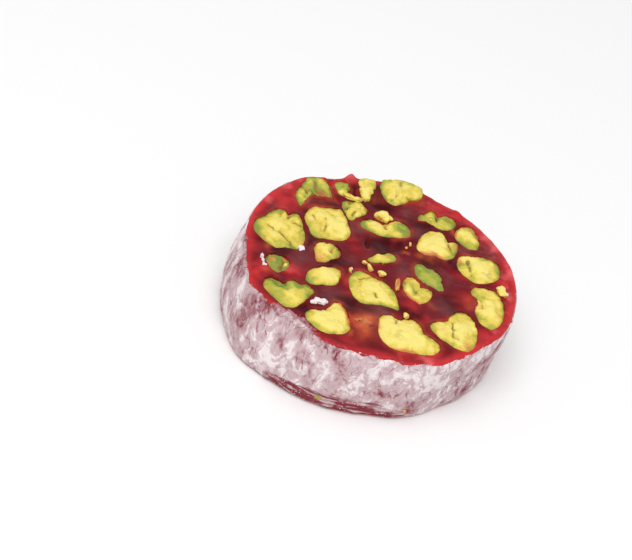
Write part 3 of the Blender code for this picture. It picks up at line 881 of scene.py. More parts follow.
@dataclass
class Kernels:
    """The pistachio kernels, with craggy crowns where the cuts show them."""

    voxel: float = 0.19 * MM
    swell: float = 0.05 * MM
    lump_spacing: float = 2.2 * MM
    lump_height: float = 0.20 * MM
    crag_spacing: float = 0.8 * MM
    crag_height: float = 0.08 * MM
    crumble_spacing: float = 0.5 * MM
    crumble_height: float = 0.07 * MM
    fibre_spacing: float = 0.6 * MM
    fibre_height: float = 0.05 * MM
    crease_depth: float = 0.30 * MM
    crease_width: float = 0.27 * MM
    valley_depth: float = 0.30 * MM
    valley_width: float = 0.75 * MM
    facet_count: int = 7
    facet_slopes: tuple[float, float] = (8.0, 32.0)
    facet_limit: float = 0.38 * MM
    veil_rise: float = 0.15 * MM
    veil_relief: float = 0.14 * MM
    veil_sheet: float = 0.20 * MM
    crown_band: float = 1.2 * MM
    outline_band: float = 3.2 * MM
    wall: float = 0.30 * MM
    lobe_spacing: float = 2.6 * MM
    lobe_height: float = 0.22 * MM
    buried_share: float = 0.25
    pocket_overlap: float = 0.14 * MM
    pocket_overrun: float = 1.6 * MM
    pocket_net: float = 0.12
    side_roughness: float = 0.30
    valley_shade: float = 0.32
    crack_shade: float = 0.45
    # Painted shade as a darker olive-green: on the rim of each seen outline, where it is also green skin, over the
    # front side, and near the line where the jelly meets the kernel, where it is also green skin.
    edge_skin_and_shade: float = 0.34
    front_shade: float = 0.16
    patch_green: float = 0.24
    fibre_green: float = 0.10
    contact_skin_and_shade: float = 0.26
    skin_green: float = 0.42
    side_film: float = 0.75
    outline_steps: int = 60
    edge_steps: int = 48
    facet_seed: int = 300
    thickness: float = 0.0
    pieces: list[Object] = field(default_factory=list)
    pockets: list[Mesh] = field(default_factory=list)

    def build(self, nodes: dict[str, Object], jelly: "Jelly", finish: Material) -> None:
        """Make a piece for each packed kernel.

        Args:
            nodes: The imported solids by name.
            jelly: The measured jelly, within which the kernels stay.
            finish: Material of every kernel.
        """
        self.thickness = jelly.thickness
        for name in sorted(node for node in nodes if node.startswith(KERNEL_PREFIX)):
            number = int(name.removeprefix(KERNEL_PREFIX))
            mesh = self._shape(nodes[name], number, jelly)
            mesh.materials.append(finish)
            piece = add_object(f"kernel_{number:02d}", mesh)
            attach(piece, BODY)
            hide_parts(name)
            self.pieces.append(piece)
        LOG.info("kernels: %d triangles", sum(len(piece.data.loop_triangles) for piece in self.pieces))

    def _cut_of(self, places: Array) -> Cut:
        """Tell at which cut a kernel shows.

        Args:
            places: The kernel's vertices.

        Returns:
            The cut, or both.
        """
        low = places[:, 2].min() < self.crown_band
        high = places[:, 2].max() > self.thickness
        if low and high:
            return Cut.BOTH
        return Cut.UPPER if high else Cut.LOWER

    def _fine_mesh(self, node: Object) -> Mesh:
        """Round a packed kernel and give it an even net.

        Args:
            node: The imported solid.

        Returns:
            The fine mesh.
        """
        piece = add_object(node.name + "_fine", merged_copy(node))
        rounding = piece.modifiers.new("rounding", "SUBSURF")
        rounding.levels = rounding.render_levels = 2
        net = piece.modifiers.new("net", "REMESH")
        net.mode = "VOXEL"
        net.voxel_size = self.voxel
        return baked_mesh(piece)

    def _seen(self, places: Array) -> Array:
        """Find where the camera sees points on the plane of the upper cut.

        Args:
            places: Points in metres.

        Returns:
            Their x and y on that plane.
        """
        seen = places[:, :2].copy()
        seen[:, 1] += PARALLAX * np.maximum(0.0, places[:, 2] - self.thickness)
        return seen

    def _follow_outline(self, places: Array, crown: Array, outline: Line, jelly: "Jelly") -> Array:
        """Stretch a kernel's crown sideways until the camera sees its outline.

        Args:
            places: The kernel's vertices.
            crown: Which of them belong to the crown.
            outline: Corners of the outline that is wanted.
            jelly: The jelly, within which the kernel stays.

        Returns:
            The new places.
        """
        corners = np.array(outline) * MM
        middle = corners.mean(axis=0)
        wanted = self._polar(corners - middle)
        seen = self._seen(places)
        angle, reach = self._polar(seen - middle)
        steps = self.outline_steps
        column = ((angle / math.tau) * steps).astype(int) % steps
        found = np.zeros(steps)
        np.maximum.at(found, column[crown], reach[crown])
        centres = (np.arange(steps) + 0.5) * math.tau / steps
        filled = found > 0.0
        present = np.interp(angle, centres[filled], found[filled], period=math.tau)
        target = np.interp(angle, *wanted, period=math.tau)
        weight = smooth_step(places[:, 2], self.thickness - self.outline_band, self.thickness - 0.9 * MM)
        stretch = 1.0 + weight * (target / present - 1.0)
        moved = places.copy()
        moved[:, :2] += (seen - middle) * (stretch - 1.0)[:, None]
        level = np.minimum(moved[:, 2], self.thickness - jelly.upper_edge)
        turns = np.arctan2(moved[:, 1], moved[:, 0]) / math.tau
        radius = np.hypot(moved[:, 0], moved[:, 1])
        allowed = jelly.radius(turns, level) - self.wall
        moved[:, :2] *= np.minimum(1.0, allowed / np.maximum(radius, 1e-9))[:, None]
        return moved

    @staticmethod
    def _polar(offset: Array) -> tuple[Array, Array]:
        """Turn offsets into angles from 0 to a full turn, and lengths."""
        return np.arctan2(offset[:, 1], offset[:, 0]) % math.tau, np.hypot(offset[:, 0], offset[:, 1])

    def _shape(self, node: Object, number: int, jelly: "Jelly") -> Mesh:
        """Give one kernel its outline, crags, creases and painted shares.

        Args:
            node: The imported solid.
            number: The kernel's number.
            jelly: The jelly, within which the kernel stays.

        Returns:
            The finished mesh.
        """
        mesh = self._fine_mesh(node)
        places = vertex_places(mesh)
        cut = self._cut_of(places)
        noise = FieldNoise(number)
        look = LOOKS.get(number) or KernelLook(LOWER_TONES[number % len(LOWER_TONES)], green_side=53.0 * number)
        if look.outline:
            crown = places[:, 2] > self.thickness - 0.35 * MM
            places[:, 2] -= self._facets(places, number)
            places = self._follow_outline(places, crown, look.outline, jelly)
            move_vertices(mesh, places)
        normals = vertex_normals(mesh)
        upper = smooth_step(places[:, 2], self.thickness - self.crown_band, self.thickness - 0.2 * MM)
        lower = 1.0 - smooth_step(places[:, 2], 0.3 * MM, self.crown_band)
        if cut is Cut.UPPER:
            lower[:] = 0.0
        if cut is Cut.LOWER:
            upper[:] = 0.0
        ground = self.thickness + jelly.face_waves(places)
        skin = np.full(len(places), np.inf)
        if look.veiled:
            skin = ground + self.veil_rise
            skin += noise.fractal(places * np.array([1.0, 1.0, 0.0]), 1.2 * MM, 2) * self.veil_relief
        self.pockets.append(self._pocket(mesh, places, normals, upper, lower, skin))
        fibres = self._fibres(places, look.stripes, noise)
        lobes = np.abs(noise.fractal(places * np.array([1.0, 1.0, 0.4]), self.lobe_spacing, 2))
        rough = self._roughness(places, normals, fibres, lobes, noise)
        shift = self.swell + upper * rough + lower * np.minimum(0.0, rough)
        bent = self._seen(places) + noise.drift(places, 0.9 * MM, (0.0, 0.02)) * 0.20 * MM
        # Creases, cracks and the valleys round them are sunk and painted dark as painted shade.
        dark, valley = self._creases(places, bent, lobes, look.creases, noise)
        facing = upper * smooth_step(normals[:, 2], 0.2, 0.7)
        shift -= (dark * self.crease_depth + valley * self.valley_depth) * facing
        dark = np.maximum(dark, self.valley_shade * valley)
        moved = places + normals * shift[:, None]
        # Pits are sunk and painted dark as painted shade.
        for x, y, reach, depth in look.pits:
            hollow = bell(gap_from(bent, x, y), reach * MM) * upper
            moved[:, 2] -= hollow * depth * MM
            dark = np.maximum(dark, smooth_step(hollow * depth, 0.10, 0.55))
        if look.veiled:
            lift = smooth_step(places[:, 2], self.thickness - 0.5 * MM, self.thickness + 0.1 * MM)
            moved[:, 2] += (skin - moved[:, 2]) * lift
        moved[:, 2] = np.clip(moved[:, 2], 0.05 * MM, skin)
        move_vertices(mesh, moved)
        wet = upper * (1.0 - smooth_step(moved[:, 2] - ground, 0.05 * MM, 0.38 * MM)) * (not look.veiled)
        self._paint(mesh, places, upper + lower, dark * upper, fibres, wet, look, noise)
        return self._thin_out(mesh, np.maximum(upper, lower))

    def _roughness(self, places: Array, normals: Array, fibres: Array, lobes: Array,
                   noise: FieldNoise) -> Array:
        """Add up a kernel's lumps, crags, fibres, lobes and crumbly grain.

        Args:
            places: The kernel's vertices.
            normals: Their normals.
            fibres: Value of the fibres at each.
            lobes: Value of the lobes at each, 0 in the crack between two.
            noise: The kernel's random field.

        Returns:
            One height in metres for each vertex.
        """
        rough = noise.fractal(places, self.lump_spacing, 2) * self.lump_height
        rough += noise.fractal(places, self.crag_spacing, 2) * self.crag_height + fibres * self.fibre_height
        rough += (np.minimum(lobes, 0.5) - 0.25) * self.lobe_height
        rough *= self.side_roughness + (1.0 - self.side_roughness) * np.abs(normals[:, 2])
        return rough + noise.fractal(places + 0.04, self.crumble_spacing, 2) * self.crumble_height

    def _creases(self, places: Array, bent: Array, lobes: Array, lines: tuple[Line, ...],
                 noise: FieldNoise) -> tuple[Array, Array]:
        """Find how far into the creases, and into the valleys round them, each vertex lies, for sinking it and for
        painted shade.

        Args:
            places: The kernel's vertices.
            bent: Where the camera sees them, bent a little.
            lobes: Value of the lobes at each, 0 in the crack between two.
            lines: The kernel's creases.
            noise: The kernel's random field.

        Returns:
            The shares for the creases and for the valleys.
        """
        dark = np.zeros(len(places))
        valley = np.zeros(len(places))
        for line in lines:
            gap = distance_to_line(bent, line)
            dark = np.maximum(dark, bell(gap, self.crease_width))
            valley = np.maximum(valley, bell(gap, self.valley_width))
        dark *= smooth_step(noise.at(places + 0.03, 1.1 * MM), -0.9, 0.1)
        cracks = 1.0 - smooth_step(lobes, 0.01, 0.10)
        cracks *= smooth_step(noise.at(places + 0.05, 2.4 * MM), 0.15, 0.6)
        return np.maximum(dark, self.crack_shade * cracks), valley

    def _facets(self, places: Array, number: int) -> Array:
        """Find how far flat faces, left by the knife and by breaks, cut a crown down.

        Args:
            places: The kernel's vertices.
            number: The kernel's number, which starts the random draw.

        Returns:
            One depth in metres for each vertex.
        """
        draw = np.random.default_rng(self.facet_seed + number)
        crown = places[:, 2] > self.thickness
        middle = places[crown, :2].mean(axis=0)
        depth = np.zeros(len(places))
        for step in range(self.facet_count):
            turn = (step + draw.uniform(-0.35, 0.35)) * math.tau / self.facet_count
            towards = (places[:, :2] - middle) @ np.array([math.cos(turn), math.sin(turn)])
            start = draw.uniform(0.05, 0.75) * towards[crown].max()
            slope = math.tan(math.radians(draw.uniform(*self.facet_slopes)))
            depth = np.maximum(depth, (towards - start) * slope)
        share = smooth_step(places[:, 2], self.thickness - 0.6 * MM, self.thickness + 0.2 * MM)
        return np.minimum(depth, self.facet_limit) * share

    def _pocket(self, mesh: Mesh, places: Array, normals: Array, upper: Array,
                lower: Array, skin: Array) -> Mesh:
        """Make the shape that cuts a kernel's pocket: a little slimmer, and run out of the cuts.

        Args:
            mesh: The kernel before its crags.
            places: Its vertices.
            normals: Their normals.
            upper: How near each vertex is to the upper cut.
            lower: How near it is to the lower cut.
            skin: Height under which the jelly closes over the kernel.

        Returns:
            The thinned shape.
        """
        cut = places - normals * self.pocket_overlap
        cut[:, 2] += self.pocket_overrun * upper * smooth_step(normals[:, 2], 0.25, 0.5)
        cut[:, 2] = np.minimum(cut[:, 2], skin - self.veil_sheet)
        cut[:, 2] -= self.pocket_overrun * lower * smooth_step(-normals[:, 2], 0.25, 0.5)
        copy = mesh.copy()
        move_vertices(copy, cut)
        piece = add_object("pocket", copy)
        thin = piece.modifiers.new("thin", "DECIMATE")
        thin.ratio = self.pocket_net
        return baked_mesh(piece)

    def _fibres(self, places: Array, direction: float, noise: FieldNoise) -> Array:
        """Draw a kernel's fibres.

        Args:
            places: The kernel's vertices.
            direction: Direction of the fibres in degrees.
            noise: The kernel's random field.

        Returns:
            One value for each vertex, from about -1 to 1.
        """
        angle = math.radians(direction)
        along = places @ np.array([math.cos(angle), math.sin(angle), 0.0])
        across = places @ np.array([-math.sin(angle), math.cos(angle), 0.0])
        return noise.at(np.column_stack([0.22 * along, across, 0.3 * places[:, 2]]), self.fibre_spacing)

    def _paint(self, mesh: Mesh, places: Array, shown: Array, dark: Array,
               fibres: Array, wet: Array, look: KernelLook, noise: FieldNoise) -> None:
        """Store how green, how dark and how filmed each point is; the green holds painted shade as well as skin,
        and the dark is painted shade.

        Args:
            mesh: Mesh to paint.
            places: Vertices before the crags.
            shown: How much each vertex shows.
            dark: Painted shade of the creases, cracks, valleys and pits there.
            fibres: Value of the fibres there.
            wet: How near it is to the line where the jelly wets it.
            look: The kernel's look.
            noise: The kernel's random field.
        """
        seen = self._seen(places)
        middle = (seen.min(axis=0) + seen.max(axis=0)) / 2
        angle, reach = self._polar(seen - middle)
        column = (angle / math.tau * self.edge_steps).astype(int) % self.edge_steps
        limit = np.zeros(self.edge_steps)
        np.maximum.at(limit, column[shown > 0.5], reach[shown > 0.5])
        share = reach / np.maximum(limit[column], 0.5 * MM)
        edge = smooth_step(share + 0.20 * noise.at(places, 1.3 * MM), 0.70, 1.0)
        front = smooth_step(share * -np.sin(angle), 0.45, 0.95)
        patches = noise.fractal(places, 2.4 * MM, 3)
        # The green share holds painted shade as well as skin: a darker olive-green on the outline's rim, on the
        # front side and near the jelly's line.
        green = look.tone + self.edge_skin_and_shade * edge + self.front_shade * front + self.patch_green * patches
        green += self.fibre_green * fibres + self.contact_skin_and_shade * wet
        if look.green_side is not None:
            towards = share * np.cos(angle - math.radians(look.green_side))
            green += self.skin_green * smooth_step(towards, 0.3, 1.0) - 0.05
        film = look.film + 0.30 * patches * (look.film > 0.1) + 0.6 * (1.0 - np.minimum(1.0, shown))
        film += 0.20 * edge * smooth_step(noise.at(places, 3.0 * MM), 0.0, 0.9)
        film += wet * (0.07 + 0.26 * noise.at(places + 0.06, 2.2 * MM))
        if look.veiled:
            film += 0.35 * smooth_step(share, 0.6, 1.0)
        if look.film_side is not None:
            towards = share * np.cos(angle - math.radians(look.film_side))
            film += self.side_film * smooth_step(towards, 0.55, 1.05)
        bent = seen + noise.drift(places, 1.0 * MM, (0.07, 0.08)) * 0.35 * MM
        for x, y, wide, tone_change, film_change in look.spots:
            spot = bell(gap_from(bent, x, y), wide * MM, 4)
            green += spot * tone_change
            film += spot * film_change
        paint(mesh, "kernel_look", (green, dark, film))

    def _thin_out(self, mesh: Mesh, shown: Array) -> Mesh:
        """Make the net coarser where the kernel is buried.

        Args:
            mesh: The fine mesh.
            shown: How much each vertex shows.

        Returns:
            The thinned mesh, smoothly shaded.
        """
        buried = np.flatnonzero(shown < 0.02).tolist()
        if buried:
            piece = add_object("thinned", mesh)
            group = piece.vertex_groups.new(name="buried")
            group.add(buried, 1.0, "REPLACE")
            thin = piece.modifiers.new("thin", "DECIMATE")
            thin.vertex_group = "buried"
            share = len(buried) / len(mesh.vertices)
            thin.ratio = 1.0 - share * (1.0 - self.buried_share)
            mesh = baked_mesh(piece)
        mesh.shade_smooth()
        return mesh

    def cutter(self) -> Object:
        """Join the shapes that cut the jelly's pockets.

        Returns:
            One object with all the shapes.
        """
        shape = bmesh.new()
        for pocket in self.pockets:
            shape.from_mesh(pocket)
        return add_object("pockets", mesh_of(shape, "pockets"))

    def tree(self) -> BVHTree:
        """Build a search tree of every kernel's surface.

        Returns:
            The search tree.
        """
        corners: list[Vector] = []
        faces: list[tuple[int, ...]] = []
        for piece in self.pieces:
            first = len(corners)
            corners += [vertex.co.copy() for vertex in piece.data.vertices]
            faces += [tuple(first + index for index in polygon.vertices) for polygon in piece.data.polygons]
        return BVHTree.FromPolygons(corners, faces)


class Tint(Enum):
    """Tints of the jelly in the upper cut: a painted red glow, the orange of kernels beneath, milky starch with a
    painted sheen, painted shade and painted highlights.
    """

    RED = "red"
    EMBER = "ember"
    HAZE_AND_SHEEN = "haze_and_sheen"
    PAINTED_SHADE = "dark_and_shade"
    PAINTED_HIGHLIGHT = "painted_highlight"


# Round patches by tint, each with x, y and reach in millimetres, and strength.
GLOWS = {
    Tint.RED: (
        (-20.5, 13.5, 3.0, 0.9), (-19.5, 8.8, 2.4, 0.9), (7.2, 21.6, 3.0, 0.9), (11.6, 21.0, 2.6, 0.8),
        (17.8, 17.0, 2.4, 0.7), (22.3, 9.0, 2.2, 0.9), (22.8, 5.6, 2.0, 0.9), (24.0, 0.8, 1.6, 0.7),
        (-22.8, -6.0, 1.5, 0.8), (-19.8, -12.0, 2.4, 0.9), (-14.0, -9.4, 2.0, 0.75), (21.4, -10.2, 2.0, 0.9),
        (13.6, -20.4, 2.2, 0.8), (9.2, -22.0, 1.8, 0.6), (-6.2, 4.4, 1.0, 0.45), (-4.6, 1.8, 1.6, 0.25),
        (-4.9, -7.4, 0.9, 0.55), (-4.2, -10.0, 1.0, 0.45), (4.2, -1.8, 1.2, 0.4), (5.2, -6.2, 1.0, 0.4),
        (7.4, -8.0, 1.6, 0.45), (15.8, -2.6, 2.2, 0.4), (11.0, -10.8, 1.8, 0.34), (14.0, 4.2, 1.3, 0.35),
        (-10.7, 14.3, 0.9, 0.5), (14.9, 10.4, 0.7, 0.5), (2.2, 20.6, 1.2, 0.3), (-13.0, 18.6, 0.9, 0.9),
        (-8.2, 18.8, 0.6, 0.5), (-23.0, -1.0, 1.6, 0.8), (-0.4, -22.2, 2.0, 0.5), (11.9, -21.7, 1.5, 0.6)),
    Tint.EMBER: (
        (1.2, -16.8, 2.3, 0.95), (-0.4, -16.8, 1.8, 0.7), (1.9, -18.8, 1.8, 0.7), (3.6, 5.4, 0.7, 0.85),
        (8.4, 6.4, 1.4, 0.5), (6.4, 6.2, 0.9, 0.5), (-19.7, -5.0, 0.9, 0.5), (-18.2, -12.6, 0.8, 0.4),
        (-1.0, -20.2, 0.8, 0.7), (10.8, -6.4, 0.8, 0.4), (10.8, 15.6, 0.8, 0.5), (-12.3, 13.8, 1.2, 0.3),
        (17.4, -2.6, 1.5, 0.4), (-5.0, 17.8, 1.3, 0.25), (-13.6, 12.2, 1.5, 0.25), (4.8, -3.8, 0.7, 0.5),
        (10.6, 6.8, 0.9, 0.35), (3.4, 21.4, 1.0, 0.35)),
    Tint.HAZE_AND_SHEEN: (
        (-16.0, 10.8, 1.2, 0.7), (1.2, 16.6, 1.5, 0.7), (-21.2, 6.8, 1.2, 0.45), (-5.8, 8.2, 1.7, 0.7),
        (-12.9, -5.2, 2.0, 0.8), (-13.0, -2.0, 1.0, 0.5), (-6.4, -12.8, 2.4, 0.7), (2.4, -12.6, 2.4, 0.7),
        (4.5, 12.4, 1.6, 0.7), (4.0, -0.6, 2.0, 0.6), (3.7, 2.2, 1.2, 0.5), (12.6, -6.4, 1.9, 0.7),
        (12.8, 0.8, 1.8, 0.5), (13.8, 11.4, 1.2, 0.7), (18.5, 14.6, 2.2, 0.6), (-21.6, 8.8, 1.8, 0.35),
        (2.2, 17.4, 1.8, 0.5), (-2.0, 8.0, 1.2, 0.4), (-5.0, -1.4, 1.5, 0.4), (-2.2, 2.6, 1.2, 0.4),
        (11.0, 2.8, 1.0, 0.3)),
    Tint.PAINTED_SHADE: (
        (0.6, 6.2, 2.6, 0.9), (-3.0, 5.0, 0.9, 1.0), (8.5, 4.8, 2.2, 0.9), (-13.2, 0.6, 1.4, 0.9),
        (-5.3, 17.5, 1.8, 0.5), (-3.2, 16.4, 1.8, 0.6), (5.5, 14.9, 1.8, 0.7), (13.5, -3.4, 2.0, 0.8),
        (9.0, -10.4, 1.5, 0.8), (-7.8, -4.2, 1.6, 0.8), (-17.0, -5.3, 1.5, 0.8), (-3.2, -13.4, 1.8, 0.8),
        (12.4, 6.4, 1.5, 0.7), (-8.9, 18.7, 1.2, 1.0), (-10.3, -18.4, 1.1, 0.7), (6.5, -10.2, 0.9, 0.9),
        (-15.4, 8.2, 0.9, 0.7), (-14.2, 2.0, 1.0, 0.8), (-13.6, 12.4, 1.8, 0.55), (-11.4, 12.6, 1.0, 0.5),
        (14.2, -0.4, 1.6, 0.3), (14.0, -5.4, 1.5, 0.5), (0.6, -12.9, 1.6, 0.5), (3.2, -12.0, 1.2, 0.5)),
    Tint.PAINTED_HIGHLIGHT: (
        (-20.6, 13.4, 1.8, 0.65), (-22.9, 8.4, 1.6, 0.7), (-18.6, 16.4, 1.4, 0.45), (17.4, 17.4, 1.8, 0.75),
        (15.0, 19.4, 1.4, 0.6), (18.8, 14.4, 2.4, 0.65), (21.6, 11.8, 1.6, 0.55), (22.4, 8.6, 1.6, 1.0),
        (24.1, 3.0, 1.2, 0.75), (12.6, -21.3, 1.3, 0.85), (8.6, -22.4, 1.0, 0.5), (-14.3, -9.8, 1.3, 0.45),
        (-10.4, 21.8, 1.4, 1.0), (-13.2, 18.8, 0.9, 0.7), (-18.8, 16.6, 1.0, 0.5), (20.2, 13.2, 1.4, 0.3),
        (23.4, 4.6, 1.3, 0.4), (24.0, -1.6, 1.0, 0.35), (23.0, -8.5, 1.3, 0.6), (10.2, 20.8, 1.0, 0.35),
        (5.4, 23.0, 1.0, 0.35), (-19.4, -12.6, 0.9, 0.35)),
}


@dataclass(frozen=True)
class Dent:
    """A hollow, or with a negative depth a bump, in the upper cut, in millimetres and degrees."""

    at: Point2
    length: float
    width: float
    turn: float
    depth: float


# The rim of the upper cut, painted bright red as a glow of light through thin jelly: direction in degrees,
# strength, and width in millimetres.
RIM = (
    (0.0, 0.9, 2.6), (20.0, 0.9, 2.8), (40.0, 0.65, 3.4), (60.0, 0.95, 3.2), (75.0, 0.95, 2.8), (95.0, 0.7, 1.6),
    (115.0, 0.9, 2.6), (135.0, 0.7, 4.2), (155.0, 0.85, 3.8), (175.0, 0.95, 2.2), (197.0, 0.62, 2.4),
    (212.0, 0.85, 2.2), (235.0, 0.55, 1.4), (252.0, 0.42, 1.8), (275.0, 0.62, 2.8), (292.0, 0.58, 2.4),
    (302.0, 0.9, 2.6), (320.0, 0.9, 2.6), (340.0, 0.75, 2.6),
)

# Hollows between the kernels, bumps over the nearly hidden ones, and the ridge at the far edge.
DENTS = (
    Dent((1.1, 6.1), 2.6, 1.5, 5.0, 0.55), Dent((-3.2, 5.0), 0.6, 1.5, 5.0, 0.75),
    Dent((12.2, 4.0), 1.8, 1.0, -25.0, 0.35), Dent((4.6, -9.9), 1.0, 0.8, 0.0, 0.35),
    Dent((-9.0, 18.2), 0.8, 1.5, 10.0, 1.2), Dent((-6.0, 7.6), 1.0, 2.4, 10.0, 0.3),
    Dent((-12.9, -6.6), 1.2, 2.6, 25.0, 0.4), Dent((-1.5, 15.6), 3.2, 0.9, -8.0, 0.35),
    Dent((13.2, -1.8), 1.6, 2.8, 15.0, 0.35), Dent((-3.6, -13.2), 2.4, 0.8, -10.0, 0.4),
    Dent((-10.2, 21.3), 1.15, 0.42, 36.0, -1.5), Dent((-13.3, 19.4), 0.6, 1.6, 30.0, 0.7),
    Dent((10.4, 21.6), 1.2, 0.8, -25.0, -0.45), Dent((-13.9, -9.4), 0.9, 2.2, 10.0, -0.5),
    Dent((-19.8, -9.8), 0.5, 1.3, 22.0, -0.3), Dent((-10.3, 14.6), 0.7, 0.7, 0.0, 0.4),
    Dent((-17.0, -12.4), 2.4, 0.8, -10.0, -0.25), Dent((1.2, -17.4), 1.8, 2.6, 0.0, -0.3),
    Dent((14.6, 0.9), 1.6, 0.25, 4.0, -0.18), Dent((3.6, 4.9), 0.6, 0.5, 0.0, -0.3),
)


@dataclass
class Jelly:
    """The slice's jelly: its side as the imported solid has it, two cuts and a pocket for each kernel."""

    segments: int = 480
    side_rings: int = 30
    edge_rings: int = 6
    upper_edge: float = 0.50 * MM
    lower_edge: float = 0.9 * MM
    upper_spacing: float = 0.32 * MM
    lower_spacing: float = 0.46 * MM
    side_relief: float = 0.14 * MM
    face_relief: float = 0.18 * MM
    ripple: float = 0.07 * MM
    meniscus: float = 0.14 * MM
    meniscus_reach: float = 0.45 * MM
    levels: int = 16
    end_margin: float = 1.0 * MM
    smoothing: float = 3.5
    climb_at: float = 241.0
    climb_width: float = 17.0
    thickness: float = 0.0
    noise: FieldNoise = field(default_factory=lambda: FieldNoise(77))
    _heights: Array | None = None
    _radii: Array | None = None

    def measure(self, node: Object) -> None:
        """Read the side's radii and the slice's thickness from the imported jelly.

        Args:
            node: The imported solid.
        """
        mesh = merged_copy(node)
        self.thickness = float(np.round(vertex_places(mesh)[:, 2].max(), 6))
        corners = [vertex.co.copy() for vertex in mesh.vertices]
        tree = BVHTree.FromPolygons(corners, [tuple(polygon.vertices) for polygon in mesh.polygons])
        self._heights = np.linspace(self.end_margin, self.thickness - self.end_margin, self.levels)
        self._radii = np.zeros((len(self._heights), self.segments))
        for row, height in enumerate(self._heights):
            for column in range(self.segments):
                angle = math.tau * column / self.segments
                outwards = Vector((math.cos(angle), math.sin(angle), 0.0))
                hit = tree.ray_cast(outwards * 0.05 + Vector((0.0, 0.0, height)), -outwards)[0]
                self._radii[row, column] = hit.to_2d().length
        reach = 9
        weights = np.exp(-0.5 * (np.arange(-reach, reach + 1) / self.smoothing) ** 2)
        weights /= weights.sum()
        padded = np.concatenate([self._radii[:, -reach:], self._radii, self._radii[:, :reach]], axis=1)
        for row in range(len(self._heights)):
            self._radii[row] = np.convolve(padded[row], weights, mode="valid")

    def radius(self, turns: Array, height: Array) -> Array:
        """Read the side's radius.

        Args:
            turns: Directions as shares of a full turn.
            height: Heights in metres.

        Returns:
            The radii in metres.
        """
        column = (turns % 1.0) * self.segments
        left = np.floor(column).astype(int) % self.segments
        across = column - np.floor(column)
        row = (height - self._heights[0]) / (self._heights[1] - self._heights[0])
        row = np.clip(row, 0.0, len(self._heights) - 1.001)
        below = np.floor(row).astype(int)
        up = row - below
        right = (left + 1) % self.segments
        lower = self._radii[below, left] * (1 - across) + self._radii[below, right] * across
        upper = self._radii[below + 1, left] * (1 - across) + self._radii[below + 1, right] * across
        return lower * (1 - up) + upper * up

    @property
    def skirt_length(self) -> float:
        """Height of the side between its two rounded edges."""
        return self.thickness - self.upper_edge - self.lower_edge

    def skirt(self, turns: Array, travel: Array, rise: Array | float = 0.0) -> Array:
        """Place points on the side, by how far up the side's profile they are.

        Args:
            turns: Directions as shares of a full turn.
            travel: Way up the profile in metres, 0 above the lower edge's rounding.
            rise: Height above the side, along its normal, in metres.

        Returns:
            The places, one to a row.
        """
        over = np.maximum(0.0, travel - self.skirt_length)
        under = np.maximum(0.0, -travel)
        up_angle = np.minimum(over / self.upper_edge, math.pi / 2)
        down_angle = np.minimum(under / self.lower_edge, math.pi / 2)
        inwards = np.maximum(0.0, over - self.upper_edge * math.pi / 2)
        height = self.lower_edge + np.clip(travel, 0.0, self.skirt_length)
        height += self.upper_edge * np.sin(up_angle) - self.lower_edge * np.sin(down_angle)
        inset = self.upper_edge * (1 - np.cos(up_angle)) + self.lower_edge * (1 - np.cos(down_angle)) + inwards
        radius = self.radius(turns, height) - inset + rise * np.cos(up_angle) * np.cos(down_angle)
        height = height + rise * (np.sin(up_angle) - np.sin(down_angle))
        angle = math.tau * turns
        return np.column_stack([radius * np.cos(angle), radius * np.sin(angle), height])

    def side_ridges(self, places: Array) -> Array:
        """Read the side's relief, longer along the slice's axis than round it."""
        return self.noise.fractal(places * np.array([1.0, 1.0, 0.45]), 3.2 * MM, 3) * self.side_relief

    def _side(self) -> list[Array]:
        """Place the side's rings.

        Returns:
            The points of each ring, from the lowest ring up.
        """
        below = np.linspace(-self.lower_edge * math.pi / 2, 0.0, self.edge_rings + 1)
        above = np.linspace(0.0, self.upper_edge * math.pi / 2, self.edge_rings + 1)
        middle = np.linspace(0.0, self.skirt_length, self.side_rings + 1)[1:-1]
        turns = np.arange(self.segments) / self.segments
        travels = np.concatenate([below, middle, self.skirt_length + above])
        return [self.skirt(turns, np.full(self.segments, travel)) for travel in travels]

    @staticmethod
    def _cap(ring: Array, spacing: float) -> tuple[list[Vector], list[list[int]]]:
        """Fill a ring with an even net of triangles.

        Args:
            ring: The ring's points, counter-clockwise.
            spacing: Distance between the net's points.

        Returns:
            The net's points seen from above, and its triangles.
        """
        count = len(ring)
        reach = np.abs(ring[:, :2]).max()
        rows = np.arange(-reach, reach, spacing * math.sqrt(0.75))
        inner: list[Vector] = []
        angles = np.arctan2(ring[:, 1], ring[:, 0])
        order = np.argsort(angles)
        radii = np.hypot(ring[:, 0], ring[:, 1])
        for index, y in enumerate(rows):
            xs = np.arange(-reach + (index % 2) * spacing / 2, reach, spacing)
            limit = np.interp(np.arctan2(y, xs), angles[order], radii[order], period=math.tau)
            inside = np.hypot(xs, y) < limit - 0.6 * spacing
            inner += [Vector((x, y)) for x in xs[inside]]
        points = [Vector(point[:2]) for point in ring] + inner
        edges = [(index, (index + 1) % count) for index in range(count)]
        made = geometry.delaunay_2d_cdt(points, edges, [], 1, 1e-9)
        return made[0], made[2]

    def _slab(self) -> Mesh:
        """Join the side and the two cuts.

        Returns:
            One closed mesh.
        """
        shape = bmesh.new()
        rings = [[shape.verts.new(point) for point in ring] for ring in self._side()]
        for low, high in zip(rings[:-1], rings[1:]):
            for index in range(self.segments):
                after = (index + 1) % self.segments
                shape.faces.new((low[index], low[after], high[after], high[index]))
        for ring, spacing, up in ((rings[0], self.lower_spacing, False), (rings[-1], self.upper_spacing, True)):
            level = ring[0].co.z
            points, triangles = self._cap(np.array([vertex.co[:] for vertex in ring]), spacing)
            net = [shape.verts.new((point.x, point.y, level)) for point in points]
            for triangle in triangles:
                corners = [net[index] for index in triangle]
                shape.faces.new(corners if up else corners[::-1])
        bmesh.ops.remove_doubles(shape, verts=shape.verts, dist=1e-7)
        return mesh_of(shape, "jelly")

